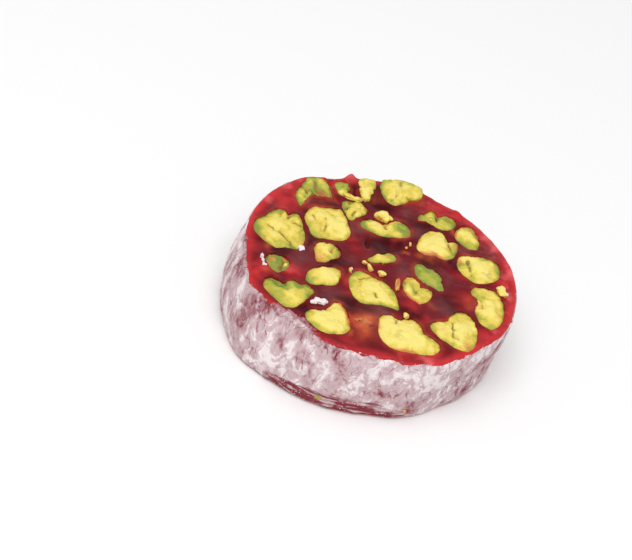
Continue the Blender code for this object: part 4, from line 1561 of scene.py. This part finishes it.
    def _relief(self, places: Array, normals: Array, kernels: BVHTree) -> Array:
        """Shape the cuts and the side.

        Args:
            places: The smooth slab's vertices.
            normals: Their normals.
            kernels: Search tree of the kernels' surfaces.

        Returns:
            The new places.
        """
        moved = places.copy()
        top = smooth_step(places[:, 2], self.thickness - 0.5 * MM, self.thickness)
        base = 1.0 - smooth_step(places[:, 2], 0.0, 0.7 * MM)
        waves = self.face_waves(places)
        near = self.kernel_distance(places, top + base > 0.5, kernels)
        climb = self.meniscus * bell(near, self.meniscus_reach)
        moved[:, 2] += top * (waves + climb)
        moved[:, 2] += base * np.maximum(0.0, 0.4 * waves)
        moved[:, :2] += normals[:, :2] * ((1.0 - top) * (1.0 - base) * self.side_ridges(places))[:, None]
        return moved

    def face_waves(self, places: Array) -> Array:
        """Read the upper cut's relief.

        Args:
            places: Points in metres, of which x and y are read.

        Returns:
            One height above the cut's plane for each point, in metres.
        """
        flat = places * np.array([1.0, 1.0, 0.0])
        waves = self.noise.fractal(flat, 4.2 * MM, 3) * self.face_relief
        waves += self.noise.fractal(flat + 0.01, 1.3 * MM, 2) * self.ripple
        for dent in DENTS:
            angle = math.radians(dent.turn)
            offset = flat[:, :2] - np.array(dent.at) * MM
            along = (offset[:, 0] * math.cos(angle) + offset[:, 1] * math.sin(angle)) / (dent.length * MM)
            across = (offset[:, 1] * math.cos(angle) - offset[:, 0] * math.sin(angle)) / (dent.width * MM)
            waves -= dent.depth * MM * np.exp(-(along**2 + across**2))
        return waves

    @staticmethod
    def kernel_distance(places: Array, wanted: Array, kernels: BVHTree) -> Array:
        """Find how far points lie from the nearest kernel.

        Args:
            places: Points in metres.
            wanted: Which of them are measured.
            kernels: Search tree of the kernels' surfaces.

        Returns:
            Distances in metres, at most 4 mm.
        """
        limit = 4.0 * MM
        near = np.full(len(places), limit)
        for index in np.flatnonzero(wanted):
            distance = kernels.find_nearest(Vector(places[index]), limit)[3]
            if distance is not None:
                near[index] = distance
        return near

    def build(self, kernels: Kernels, finish: Material) -> None:
        """Make the jelly.

        Args:
            kernels: The finished kernels, which cut the pockets.
            finish: Material of the jelly.
        """
        tree = kernels.tree()
        mesh = self._slab()
        move_vertices(mesh, self._relief(vertex_places(mesh), vertex_normals(mesh), tree))
        slab = add_object("jelly_slab", mesh)
        cutter = kernels.cutter()
        pockets = slab.modifiers.new("pockets", "BOOLEAN")
        pockets.operation = "DIFFERENCE"
        pockets.object = cutter
        pockets.solver = "MANIFOLD"
        mesh = baked_mesh(slab)
        bpy.data.objects.remove(cutter)
        self._paint(mesh, tree)
        mesh.shade_smooth()
        mesh.materials.clear()
        mesh.materials.append(finish)
        piece = add_object("jelly", mesh)
        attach(piece, BODY)
        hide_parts(SLAB_NODE)
        LOG.info("jelly: %d triangles", len(mesh.loop_triangles))

    def _tint(self, places: Array, tint: Tint) -> Array:
        """Find how strongly one tint colours the upper cut.

        Args:
            places: Points in metres.
            tint: The tint.

        Returns:
            Shares from 0 to 1.
        """
        flat = places * np.array([1.0, 1.0, 0.0])
        bent = places[:, :2] + self.noise.drift(flat, 2.6 * MM, (0.03, 0.05), 3) * 0.85 * MM
        share = np.zeros(len(places))
        for x, y, reach, strength in GLOWS[tint]:
            share = np.maximum(share, strength * bell(gap_from(bent, x, y), reach * MM))
        return share * (0.85 + 0.35 * self.noise.at(flat + 0.07, 1.4 * MM))

    def _paint(self, mesh: Mesh, kernels: BVHTree) -> None:
        """Store the jelly's painted glow of light where it is thin, its orange where kernels lie beneath, its
        dust, its milky starch with a painted sheen, its painted shade and its painted highlights at each point.

        Args:
            mesh: The finished mesh.
            kernels: Search tree of the kernels' surfaces.
        """
        places = vertex_places(mesh)
        radius = np.hypot(places[:, 0], places[:, 1])
        turns = np.arctan2(places[:, 1], places[:, 0]) / math.tau
        from_side = self.radius(turns, places[:, 2]) - radius
        on_face = smooth_step(places[:, 2], self.thickness - 1.5 * MM, self.thickness - 0.5 * MM)
        on_base = 1.0 - smooth_step(places[:, 2], 0.5 * MM, 1.5 * MM)
        on_cut = np.maximum(on_face, on_base)
        wobble = self.noise.fractal(places, 4.0 * MM, 2)
        directions, strengths, widths = np.array(RIM).T
        degrees = (turns % 1.0) * 360.0
        strength = np.interp(degrees, directions, strengths, period=360.0)
        width = np.interp(degrees, directions, widths, period=360.0)
        # The rim's painted glow of light through thin jelly, its strength and width changing round the slice.
        rim = strength * (1.0 - smooth_step(from_side / (width * MM) + wobble * 0.25, 0.1, 1.0))
        near = self.kernel_distance(places, on_cut > 0.1, kernels)
        # A ring round each kernel, painted partly as red glow and partly as the orange of the kernel beneath.
        halo = bell(near, 0.5 * MM) * smooth_step(wobble, -0.4, 0.8)
        # The red share is a painted glow: the rim, the ring round the kernels and listed patches, and part of the
        # rim's glow on the rounded edge and the side.
        red = np.maximum(rim * on_cut, 0.35 * halo)
        red = np.maximum(red, self._tint(places, Tint.RED) * on_face)
        red += (1.0 - on_cut) * 0.30 * strength
        ember = np.maximum(0.30 * halo, self._tint(places, Tint.EMBER) * on_face)
        speckle = self.noise.fractal(places, 0.9 * MM, 2)
        edge_dust = 1.0 - smooth_step(from_side + speckle * 0.5 * MM, 0.0, 0.9 * MM)
        climb = bell(degrees - self.climb_at, self.climb_width, 4)
        dust = np.maximum((1.0 - on_cut) * 0.80, edge_dust * (0.26 + 0.6 * climb))
        inward = (0.9 + 1.4 * smooth_step(degrees, 232.0, 244.0)) * MM
        reach = 1.0 - smooth_step(from_side + speckle * 0.9 * MM, 0.3 * inward, 1.3 * inward)
        dust = np.maximum(dust, 0.76 * climb * reach)
        paint(mesh, "jelly_look", (red, ember, dust))
        # Milky starch with a painted sheen, in listed patches on the upper cut and over the lower cut.
        haze_and_sheen = np.maximum(self._tint(places, Tint.HAZE_AND_SHEEN) * on_face, 0.3 * on_base)
        # Painted shade in listed patches of the upper cut, many in its hollows and beside the kernels.
        dark_and_shade = self._tint(places, Tint.PAINTED_SHADE) * on_face
        # Painted highlights on the upper cut, mostly near the rim.
        painted_highlight = self._tint(places, Tint.PAINTED_HIGHLIGHT) * on_face
        paint(mesh, "jelly_depth", (haze_and_sheen, dark_and_shade, painted_highlight))


# Redder places on the side: direction and width in degrees, height and reach in millimetres.
RED_ZONES = (
    (250.0, 8.0, 12.2, 1.8), (256.0, 6.0, 6.5, 4.5), (302.0, 6.0, 2.5, 2.5), (318.0, 10.0, 1.0, 1.4),
    (218.0, 5.0, 5.0, 4.0), (240.0, 6.0, 2.0, 2.0), (336.0, 8.0, 9.0, 2.5), (203.0, 6.0, 8.0, 3.5),
)


@dataclass
class PowderCoat:
    """The crust of sugar powder on the side, ragged at its edges and open where the jelly has soaked it."""

    columns: int = 780
    rows: int = 66
    seat: float = 0.45 * MM
    mean_height: float = 0.12 * MM
    patch_height: float = 0.07 * MM
    fleck_height: float = 0.035 * MM
    edge_fade: float = 0.8 * MM
    climb_at: float = 240.0
    climb_width: float = 15.0
    band_at: float = 272.0
    band_width: float = 34.0
    mean_cover: float = 0.54
    patch_cover: float = 0.24
    fleck_cover: float = 0.10
    edge_loss: float = 0.20
    damp_loss: float = 0.12
    mean_red: float = 0.18
    damp_red: float = 0.25
    zone_red: float = 0.42
    noise: FieldNoise = field(default_factory=lambda: FieldNoise(31))
    piece: Object | None = None

    def _edges(self, turns: Array, length: float) -> tuple[Array, Array]:
        """Find where the crust starts and ends on its way up the side's profile.

        Args:
            turns: Directions as shares of a full turn.
            length: Height of the side between its rounded edges.

        Returns:
            The two ways in metres.
        """
        ring = np.column_stack([np.cos(math.tau * turns), np.sin(math.tau * turns), np.zeros(len(turns))]) * 0.025
        ragged = self.noise.fractal(ring, 2.4 * MM, 4)
        crumbly = self.noise.fractal(ring + 0.01, 1.8 * MM, 4)
        climbs = bell((turns % 1.0) * 360.0 - self.climb_at, self.climb_width, 4)
        lower = (-1.00 + 0.25 * ragged) * MM
        upper = length + (0.60 + 1.0 * climbs + 0.24 * crumbly) * MM
        return lower, upper

    def build(self, jelly: Jelly, finish: Material) -> None:
        """Make the crust.

        Args:
            jelly: The slice's jelly, whose side it covers.
            finish: Material of the powder.
        """
        ring = np.arange(self.columns) / self.columns
        lower, upper = self._edges(ring, jelly.skirt_length)
        turns = np.tile(ring, self.rows)
        share = np.repeat(np.linspace(0.0, 1.0, self.rows), self.columns)
        low, high = np.tile(lower, self.rows), np.tile(upper, self.rows)
        travel = low + (high - low) * share
        skin = jelly.skirt(turns, travel)
        drift = self.noise.drift(skin, 2.8 * MM, (0.1, 0.2, 0.3), 3)
        bent = (skin + drift * 0.7 * MM) * np.array([1.0, 1.0, 0.6])
        patches = self.noise.fractal(bent, 3.6 * MM, 3)
        flecks = self.noise.fractal(bent * 1.1 + 0.2, 0.85 * MM, 3)
        veins = 1.0 - smooth_step(np.abs(self.noise.fractal(bent + 0.3, 1.9 * MM, 2)), 0.02, 0.20)
        fade = smooth_step(np.minimum(travel - low, high - travel), 0.0, self.edge_fade)
        grow = self.mean_height + patches * self.patch_height + flecks * self.fleck_height
        grow = grow * (0.3 + 0.7 * fade) - (1.0 - fade) * 0.12 * MM - veins * 0.04 * MM
        grow = np.maximum(grow, -0.25 * MM)
        rise = jelly.side_ridges(skin) * smooth_step(jelly.skirt_length - travel, -0.5 * MM, 0.8 * MM) + grow
        outer = jelly.skirt(turns, travel, rise)
        inner = [jelly.skirt(ring, edge, np.full(self.columns, -self.seat)) for edge in (lower, upper)]
        mesh = self._mesh(outer, inner)
        damp = smooth_step(self.noise.fractal(bent + 0.4, 6.0 * MM, 2), 0.3, 0.9)
        degrees = turns * 360.0
        drip = self.noise.fractal(skin * np.array([0.5, 0.5, 2.0]), 2.0 * MM, 3)
        band = bell(degrees - self.band_at, self.band_width, 4)
        band *= 1.0 - smooth_step(travel / MM + drip * 0.6, 0.9, 3.4)
        cover = self.mean_cover + patches * self.patch_cover + flecks * self.fleck_cover
        cover -= self.edge_loss * (1.0 - fade) + self.damp_loss * damp
        zones = [bell(degrees - at, wide) * bell(travel / MM - up, tall) for at, wide, up, tall in RED_ZONES]
        reddish = self.mean_red + self.damp_red * damp + self.zone_red * np.max(zones, axis=0)
        blank = np.zeros(2 * self.columns)
        channels = [np.concatenate([values, blank]) for values in (cover, band, reddish)]
        paint(mesh, "powder_look", tuple(channels))
        share_layer = mesh.attributes.new("grain_share", "FLOAT", "POINT")
        share_layer.data.foreach_set("value", np.concatenate([np.clip(0.3 + 0.7 * patches, 0.0, 1.0), blank]))
        mesh.materials.append(finish)
        mesh.shade_smooth()
        self.piece = add_object("powder_coat", mesh)
        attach(self.piece, BODY)
        LOG.info("powder coat: %d triangles", len(mesh.loop_triangles))

    def _mesh(self, outer: Array, inner: list[Array]) -> Mesh:
        """Close the crust's outer wall with a plain inner one.

        Args:
            outer: Points of the outer wall, ring by ring from below.
            inner: Points of the inner wall's lower and upper rings.

        Returns:
            The closed mesh.
        """
        faces: list[tuple[int, int, int, int]] = []
        order = [row * self.columns for row in range(self.rows + 2)]
        loops = order[: self.rows] + [order[self.rows + 1], order[self.rows], order[0]]
        for low, high in zip(loops[:-1], loops[1:]):
            for step in range(self.columns):
                after = (step + 1) % self.columns
                faces.append((low + step, low + after, high + after, high + step))
        mesh = bpy.data.meshes.new("powder_coat")
        mesh.from_pydata(np.concatenate([outer, *inner]).tolist(), [], faces)
        return mesh


@dataclass(frozen=True)
class GrainTree:
    """A node tree that scatters grains over a mesh by its float attribute grain_share."""

    density: float = 2.2e6
    smallest: float = 0.04 * MM
    largest: float = 0.12 * MM
    seed: int = 11

    def build(self) -> bpy.types.NodeTree:
        """Make the tree of nodes.

        Returns:
            The tree, whose inputs are the geometry, the material and the density.
        """
        tree = bpy.data.node_groups.new("grains", "GeometryNodeTree")
        for name, kind in (("Geometry", "Geometry"), ("Material", "Material"), ("Density", "Float")):
            tree.interface.new_socket(name, in_out="INPUT", socket_type="NodeSocket" + kind)
        tree.interface.new_socket("Geometry", in_out="OUTPUT", socket_type="NodeSocketGeometry")
        source = self._node(tree, "NodeGroupInput")
        named = self._node(tree, "GeometryNodeInputNamedAttribute", {"Name": "grain_share"}, data_type="FLOAT")
        density = self._node(tree, "ShaderNodeMath", {0: source.outputs["Density"], 1: named.outputs["Attribute"]},
                             operation="MULTIPLY")
        points = self._node(tree, "GeometryNodeDistributePointsOnFaces", {
            "Mesh": source.outputs["Geometry"], "Density": density.outputs[0], "Seed": self.seed})
        size = self._node(tree, "FunctionNodeRandomValue", {
            "Min": (self.smallest,) * 3, "Max": (self.largest,) * 3, "Seed": self.seed}, data_type="FLOAT_VECTOR")
        turn = self._node(tree, "FunctionNodeRandomValue", {
            "Max": (math.tau,) * 3, "Seed": self.seed + 1}, data_type="FLOAT_VECTOR")
        grain = self._node(tree, "GeometryNodeMeshIcoSphere", {"Radius": 1.0, "Subdivisions": 1})
        placed = self._node(tree, "GeometryNodeInstanceOnPoints", {
            "Points": points.outputs["Points"], "Instance": grain.outputs["Mesh"],
            "Rotation": turn.outputs["Value"], "Scale": size.outputs["Value"]})
        real = self._node(tree, "GeometryNodeRealizeInstances", {"Geometry": placed.outputs["Instances"]})
        dressed = self._node(tree, "GeometryNodeSetMaterial", {
            "Geometry": real.outputs["Geometry"], "Material": source.outputs["Material"]})
        self._node(tree, "NodeGroupOutput", {"Geometry": dressed.outputs["Geometry"]})
        return tree

    @staticmethod
    def _node(tree: bpy.types.NodeTree, kind: str, inputs: dict | None = None, **settings: str) -> bpy.types.Node:
        """Add a node.

        Args:
            tree: Tree that gets it.
            kind: The node's type.
            inputs: Values or outputs, by the name or number of the socket.
            settings: The node's properties.

        Returns:
            The new node.
        """
        made = tree.nodes.new(kind)
        for key, value in settings.items():
            setattr(made, key, value)
        for key, value in (inputs or {}).items():
            if isinstance(value, bpy.types.NodeSocket):
                tree.links.new(value, made.inputs[key])
            else:
                made.inputs[key].default_value = value
        return made


@dataclass
class Grains:
    """Loose grains of sugar on the crust."""

    tree: GrainTree = field(default_factory=GrainTree)

    def build(self, coat: PowderCoat, finish: Material) -> None:
        """Scatter the grains over the crust.

        Args:
            coat: The finished crust.
            finish: Material of the grains.
        """
        seeded = add_object("seeded", coat.piece.data.copy())
        scatter = seeded.modifiers.new("grains", "NODES")
        scatter.node_group = self.tree.build()
        values = {"Material": finish, "Density": self.tree.density}
        for item in scatter.node_group.interface.items_tree:
            if item.in_out == "INPUT" and item.name in values:
                scatter[item.identifier] = values[item.name]
        grains = baked_mesh(seeded)
        piece = add_object("sugar_grains", grains)
        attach(piece, BODY)
        LOG.info("grains: %d triangles", len(grains.loop_triangles))


class CrumbKind(Enum):
    """What a crumb is made of."""

    KERNEL = "kernel"
    SUGAR = "sugar"


@dataclass(frozen=True)
class Crumb:
    """A crumb, in millimetres and degrees.

    On the upper cut its place is the one where the camera sees it. On the
    side, height says how far above the floor it sits.
    """

    kind: CrumbKind
    at: Point2
    half: tuple[float, float, float]
    turn: float = 0.0
    tone: float = 0.05
    film: float = 0.0
    height: float | None = None


KERNEL, SUGAR = CrumbKind
CRUMBS = (
    Crumb(KERNEL, (-2.0, 13.7), (1.55, 1.1, 0.75), -24.0, 0.1),
    Crumb(KERNEL, (22.2, 3.3), (0.85, 1.25, 0.55), 30.0, 0.05),
    Crumb(KERNEL, (0.9, -2.6), (0.75, 0.55, 0.45), 20.0, 0.0, 0.15),
    Crumb(KERNEL, (-1.5, -1.9), (1.15, 0.34, 0.35), -62.0, 0.25, 0.2),
    Crumb(KERNEL, (-2.6, -1.0), (0.45, 0.35, 0.3), 10.0, 0.2, 0.2),
    Crumb(KERNEL, (7.1, -11.7), (0.45, 0.65, 0.4), 10.0, 0.0, 0.15),
    Crumb(KERNEL, (-4.6, -4.4), (0.25, 0.65, 0.3), 20.0, 0.1, 0.3),
    Crumb(KERNEL, (4.1, -4.2), (0.42, 1.7, 0.35), 8.0, 0.35, 0.45),
    Crumb(KERNEL, (-9.2, 16.3), (1.3, 0.5, 0.42), -8.0, 0.28, 0.12),
    Crumb(KERNEL, (-7.6, 16.2), (0.9, 0.42, 0.4), 8.0, 0.22, 0.16),
    Crumb(KERNEL, (4.1, 8.3), (0.22, 0.6, 0.2), 12.0, 0.3, 0.35),
    Crumb(KERNEL, (3.6, 6.9), (0.25, 0.3, 0.18), 12.0, 0.2, 0.45),
    Crumb(SUGAR, (-19.9, -8.3), (0.3, 0.62, 0.45), 14.0),
    Crumb(SUGAR, (-19.4, -9.5), (0.26, 0.6, 0.42), 24.0),
    Crumb(SUGAR, (-18.9, -10.4), (0.42, 0.36, 0.42), 20.0),
    Crumb(SUGAR, (-7.7, -15.2), (1.1, 0.6, 0.42), 10.0),
    Crumb(SUGAR, (-8.7, -15.9), (0.62, 0.38, 0.26), 35.0),
    Crumb(SUGAR, (-7.0, -14.7), (0.6, 0.42, 0.32), -25.0),
    Crumb(SUGAR, (-8.3, -14.9), (0.5, 0.42, 0.28), 60.0),
    Crumb(SUGAR, (-14.0, -2.8), (0.6, 0.5, 0.32), 30.0),
    Crumb(SUGAR, (23.1, 2.9), (0.35, 0.45, 0.2), 10.0),
    Crumb(SUGAR, (-4.5, -3.8), (0.18, 0.35, 0.18), 20.0),
    Crumb(KERNEL, (-2.9, -25.4), (0.55, 0.32, 0.34), -6.5, 0.75, 0.1, height=2.4),
    Crumb(KERNEL, (11.9, -21.9), (0.42, 0.3, 0.3), 28.5, 0.2, 0.55, height=2.5),
)


@dataclass
class Crumbs:
    """Crumbs of kernel and lumps of sugar on the upper cut, and two bits of kernel on the side."""

    sink: float = 0.30
    relief: float = 0.34
    bluntness: float = 0.80
    swell: float = 1.1
    first_seed: int = 200

    def build(self, thickness: float, finishes: dict[CrumbKind, Material]) -> None:
        """Make one piece for each kind of crumb.

        Args:
            thickness: Height of the upper cut, in metres.
            finishes: Material of each kind.
        """
        for kind, finish in finishes.items():
            places: list[Array] = []
            shares: list[Array] = []
            faces: list[tuple[int, ...]] = []
            for number, crumb in enumerate(CRUMBS):
                if crumb.kind is kind:
                    first = sum(len(part) for part in places)
                    corners, triangles, rough = self._lump(crumb, number, thickness)
                    places.append(corners)
                    faces += [tuple(first + index for index in triangle) for triangle in triangles]
                    shares.append(self._shares(crumb, rough))
            mesh = bpy.data.meshes.new(kind.value + "_crumbs")
            mesh.from_pydata(np.concatenate(places).tolist(), [], faces)
            name = "kernel_look" if kind is CrumbKind.KERNEL else "powder_look"
            paint(mesh, name, tuple(np.concatenate(shares).T))
            mesh.materials.append(finish)
            mesh.shade_smooth()
            piece = add_object(kind.value + "_crumbs", mesh)
            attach(piece, BODY)
            LOG.info("%s crumbs: %d triangles", kind.value, len(mesh.loop_triangles))

    @staticmethod
    def _shares(crumb: Crumb, rough: Array) -> Array:
        """Find a crumb's painted shares.

        Args:
            crumb: The crumb.
            rough: Its roughness at each vertex.

        Returns:
            Three shares for each vertex, one row to a vertex.
        """
        if crumb.kind is CrumbKind.SUGAR:
            return np.column_stack([1.0 + 0.3 * rough, np.zeros(len(rough)), np.zeros(len(rough))])
        return np.column_stack([crumb.tone + 0.3 * rough, np.zeros(len(rough)), crumb.film + 0.4 * rough])

    def _lump(self, crumb: Crumb, number: int, thickness: float) -> tuple[Array, list[tuple[int, ...]], Array]:
        """Shape one crumb.

        Args:
            crumb: The crumb.
            number: Start of its random draw.
            thickness: Height of the upper cut, in metres.

        Returns:
            Its points, its triangles and its roughness at each point.
        """
        shape = bmesh.new()
        bmesh.ops.create_icosphere(shape, subdivisions=4, radius=1.0)
        ball = np.array([vertex.co[:] for vertex in shape.verts])
        triangles = [tuple(vertex.index for vertex in face.verts) for face in shape.faces]
        shape.free()
        rough = FieldNoise(self.first_seed + number).fractal(ball, 0.75, 3)
        broken = np.minimum(1.0, self.bluntness / np.maximum(np.abs(ball).max(axis=1), 1e-6))
        lump = ball * (broken * (1.0 + self.relief * rough))[:, None] * self.swell * np.array(crumb.half) * MM
        angle = math.radians(crumb.turn)
        turned = lump @ np.array([[math.cos(angle), math.sin(angle), 0], [-math.sin(angle), math.cos(angle), 0],
                                  [0, 0, 1.0]])
        if crumb.height is not None:
            return turned + np.array((*crumb.at, crumb.height)) * MM, triangles, rough
        lift = (1.0 - 2.0 * self.sink) * crumb.half[2]
        seat = np.array((crumb.at[0], crumb.at[1] - PARALLAX * lift, lift)) * MM
        return turned + seat + np.array((0.0, 0.0, thickness)), triangles, rough


@dataclass
class Studio:
    """Pale floor, soft light and the camera."""

    floor_side: float = 3.0
    camera_distance: float = 0.350
    elevation: float = CAMERA_ELEVATION
    roll: float = 18.26
    lens: float = 111.2
    sensor: float = 36.0
    shift_x: float = -0.0856
    shift_y: float = 0.0217
    room_light: float = 0.60
    lamp_power: float = 5.9
    lamp_size: float = 0.8
    lamp_place: tuple[float, float, float] = (-0.05, -0.38, 0.78)

    def build(self, middle: Vector) -> None:
        """Make the floor, the lights and the camera.

        Args:
            middle: The slice's middle, at which the camera looks.
        """
        self._floor()
        self._lights(middle)
        self._camera(middle)

    def _floor(self) -> None:
        """Lay the floor under the slice."""
        shape = bmesh.new()
        bmesh.ops.create_grid(shape, x_segments=2, y_segments=2, size=self.floor_side / 2)
        mesh = mesh_of(shape, "floor")
        mesh.materials.append(FloorFinish().build())
        add_object("floor", mesh)

    def _lights(self, middle: Vector) -> None:
        """Light the room evenly, with a soft main light from the upper left.

        Args:
            middle: The point that the light faces.
        """
        world = bpy.data.worlds.new("room")
        world.use_nodes = True
        world.node_tree.nodes["Background"].inputs["Color"].default_value = (1.0, 1.0, 1.0, 1.0)
        world.node_tree.nodes["Background"].inputs["Strength"].default_value = self.room_light
        bpy.context.scene.world = world
        place = middle + Vector(self.lamp_place)
        light = bpy.data.lights.new("main_light", "AREA")
        light.energy = self.lamp_power
        light.size = self.lamp_size
        lamp = bpy.data.objects.new("main_light", light)
        lamp.location = place
        lamp.rotation_euler = (middle - place).to_track_quat("-Z", "Y").to_euler()
        bpy.context.scene.collection.objects.link(lamp)

    def _camera(self, middle: Vector) -> None:
        """Set the camera at the photograph's angle.

        Args:
            middle: The point that the camera faces.
        """
        tilt = math.radians(self.elevation)
        back = Vector((0.0, -math.cos(tilt), math.sin(tilt)))
        right = Vector((1.0, 0.0, 0.0))
        up = back.cross(right)
        turn = math.radians(self.roll)
        rolled_right = right * math.cos(turn) + up * math.sin(turn)
        rolled_up = up * math.cos(turn) - right * math.sin(turn)
        camera = bpy.data.cameras.new("camera")
        camera.lens = self.lens
        camera.sensor_width = self.sensor
        camera.shift_x = self.shift_x
        camera.shift_y = self.shift_y
        camera.clip_start = 0.01
        holder = bpy.data.objects.new("camera", camera)
        axes = Matrix((rolled_right, rolled_up, back)).transposed().to_4x4()
        holder.matrix_world = Matrix.Translation(middle + back * self.camera_distance) @ axes
        bpy.context.scene.collection.objects.link(holder)
        bpy.context.scene.camera = holder
        bpy.context.scene.view_settings.view_transform = "Standard"


def main() -> None:
    """Build the slice and its studio."""
    logging.basicConfig(level=logging.INFO, format="%(name)s: %(message)s")
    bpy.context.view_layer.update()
    nodes = frame["nodes"]
    jelly = Jelly()
    jelly.measure(nodes[SLAB_NODE])
    Studio().build(Vector((0.0, 0.0, jelly.thickness / 2)))
    kernel_finish = KernelFinish().build()
    powder_finish = PowderFinish().build()
    kernels = Kernels()
    kernels.build(nodes, jelly, kernel_finish)
    jelly.build(kernels, JellyFinish().build())
    coat = PowderCoat()
    coat.build(jelly, powder_finish)
    Grains().build(coat, GrainFinish().build())
    Crumbs().build(jelly.thickness, {CrumbKind.KERNEL: kernel_finish, CrumbKind.SUGAR: powder_finish})


if __name__ == "__main__":
    main()
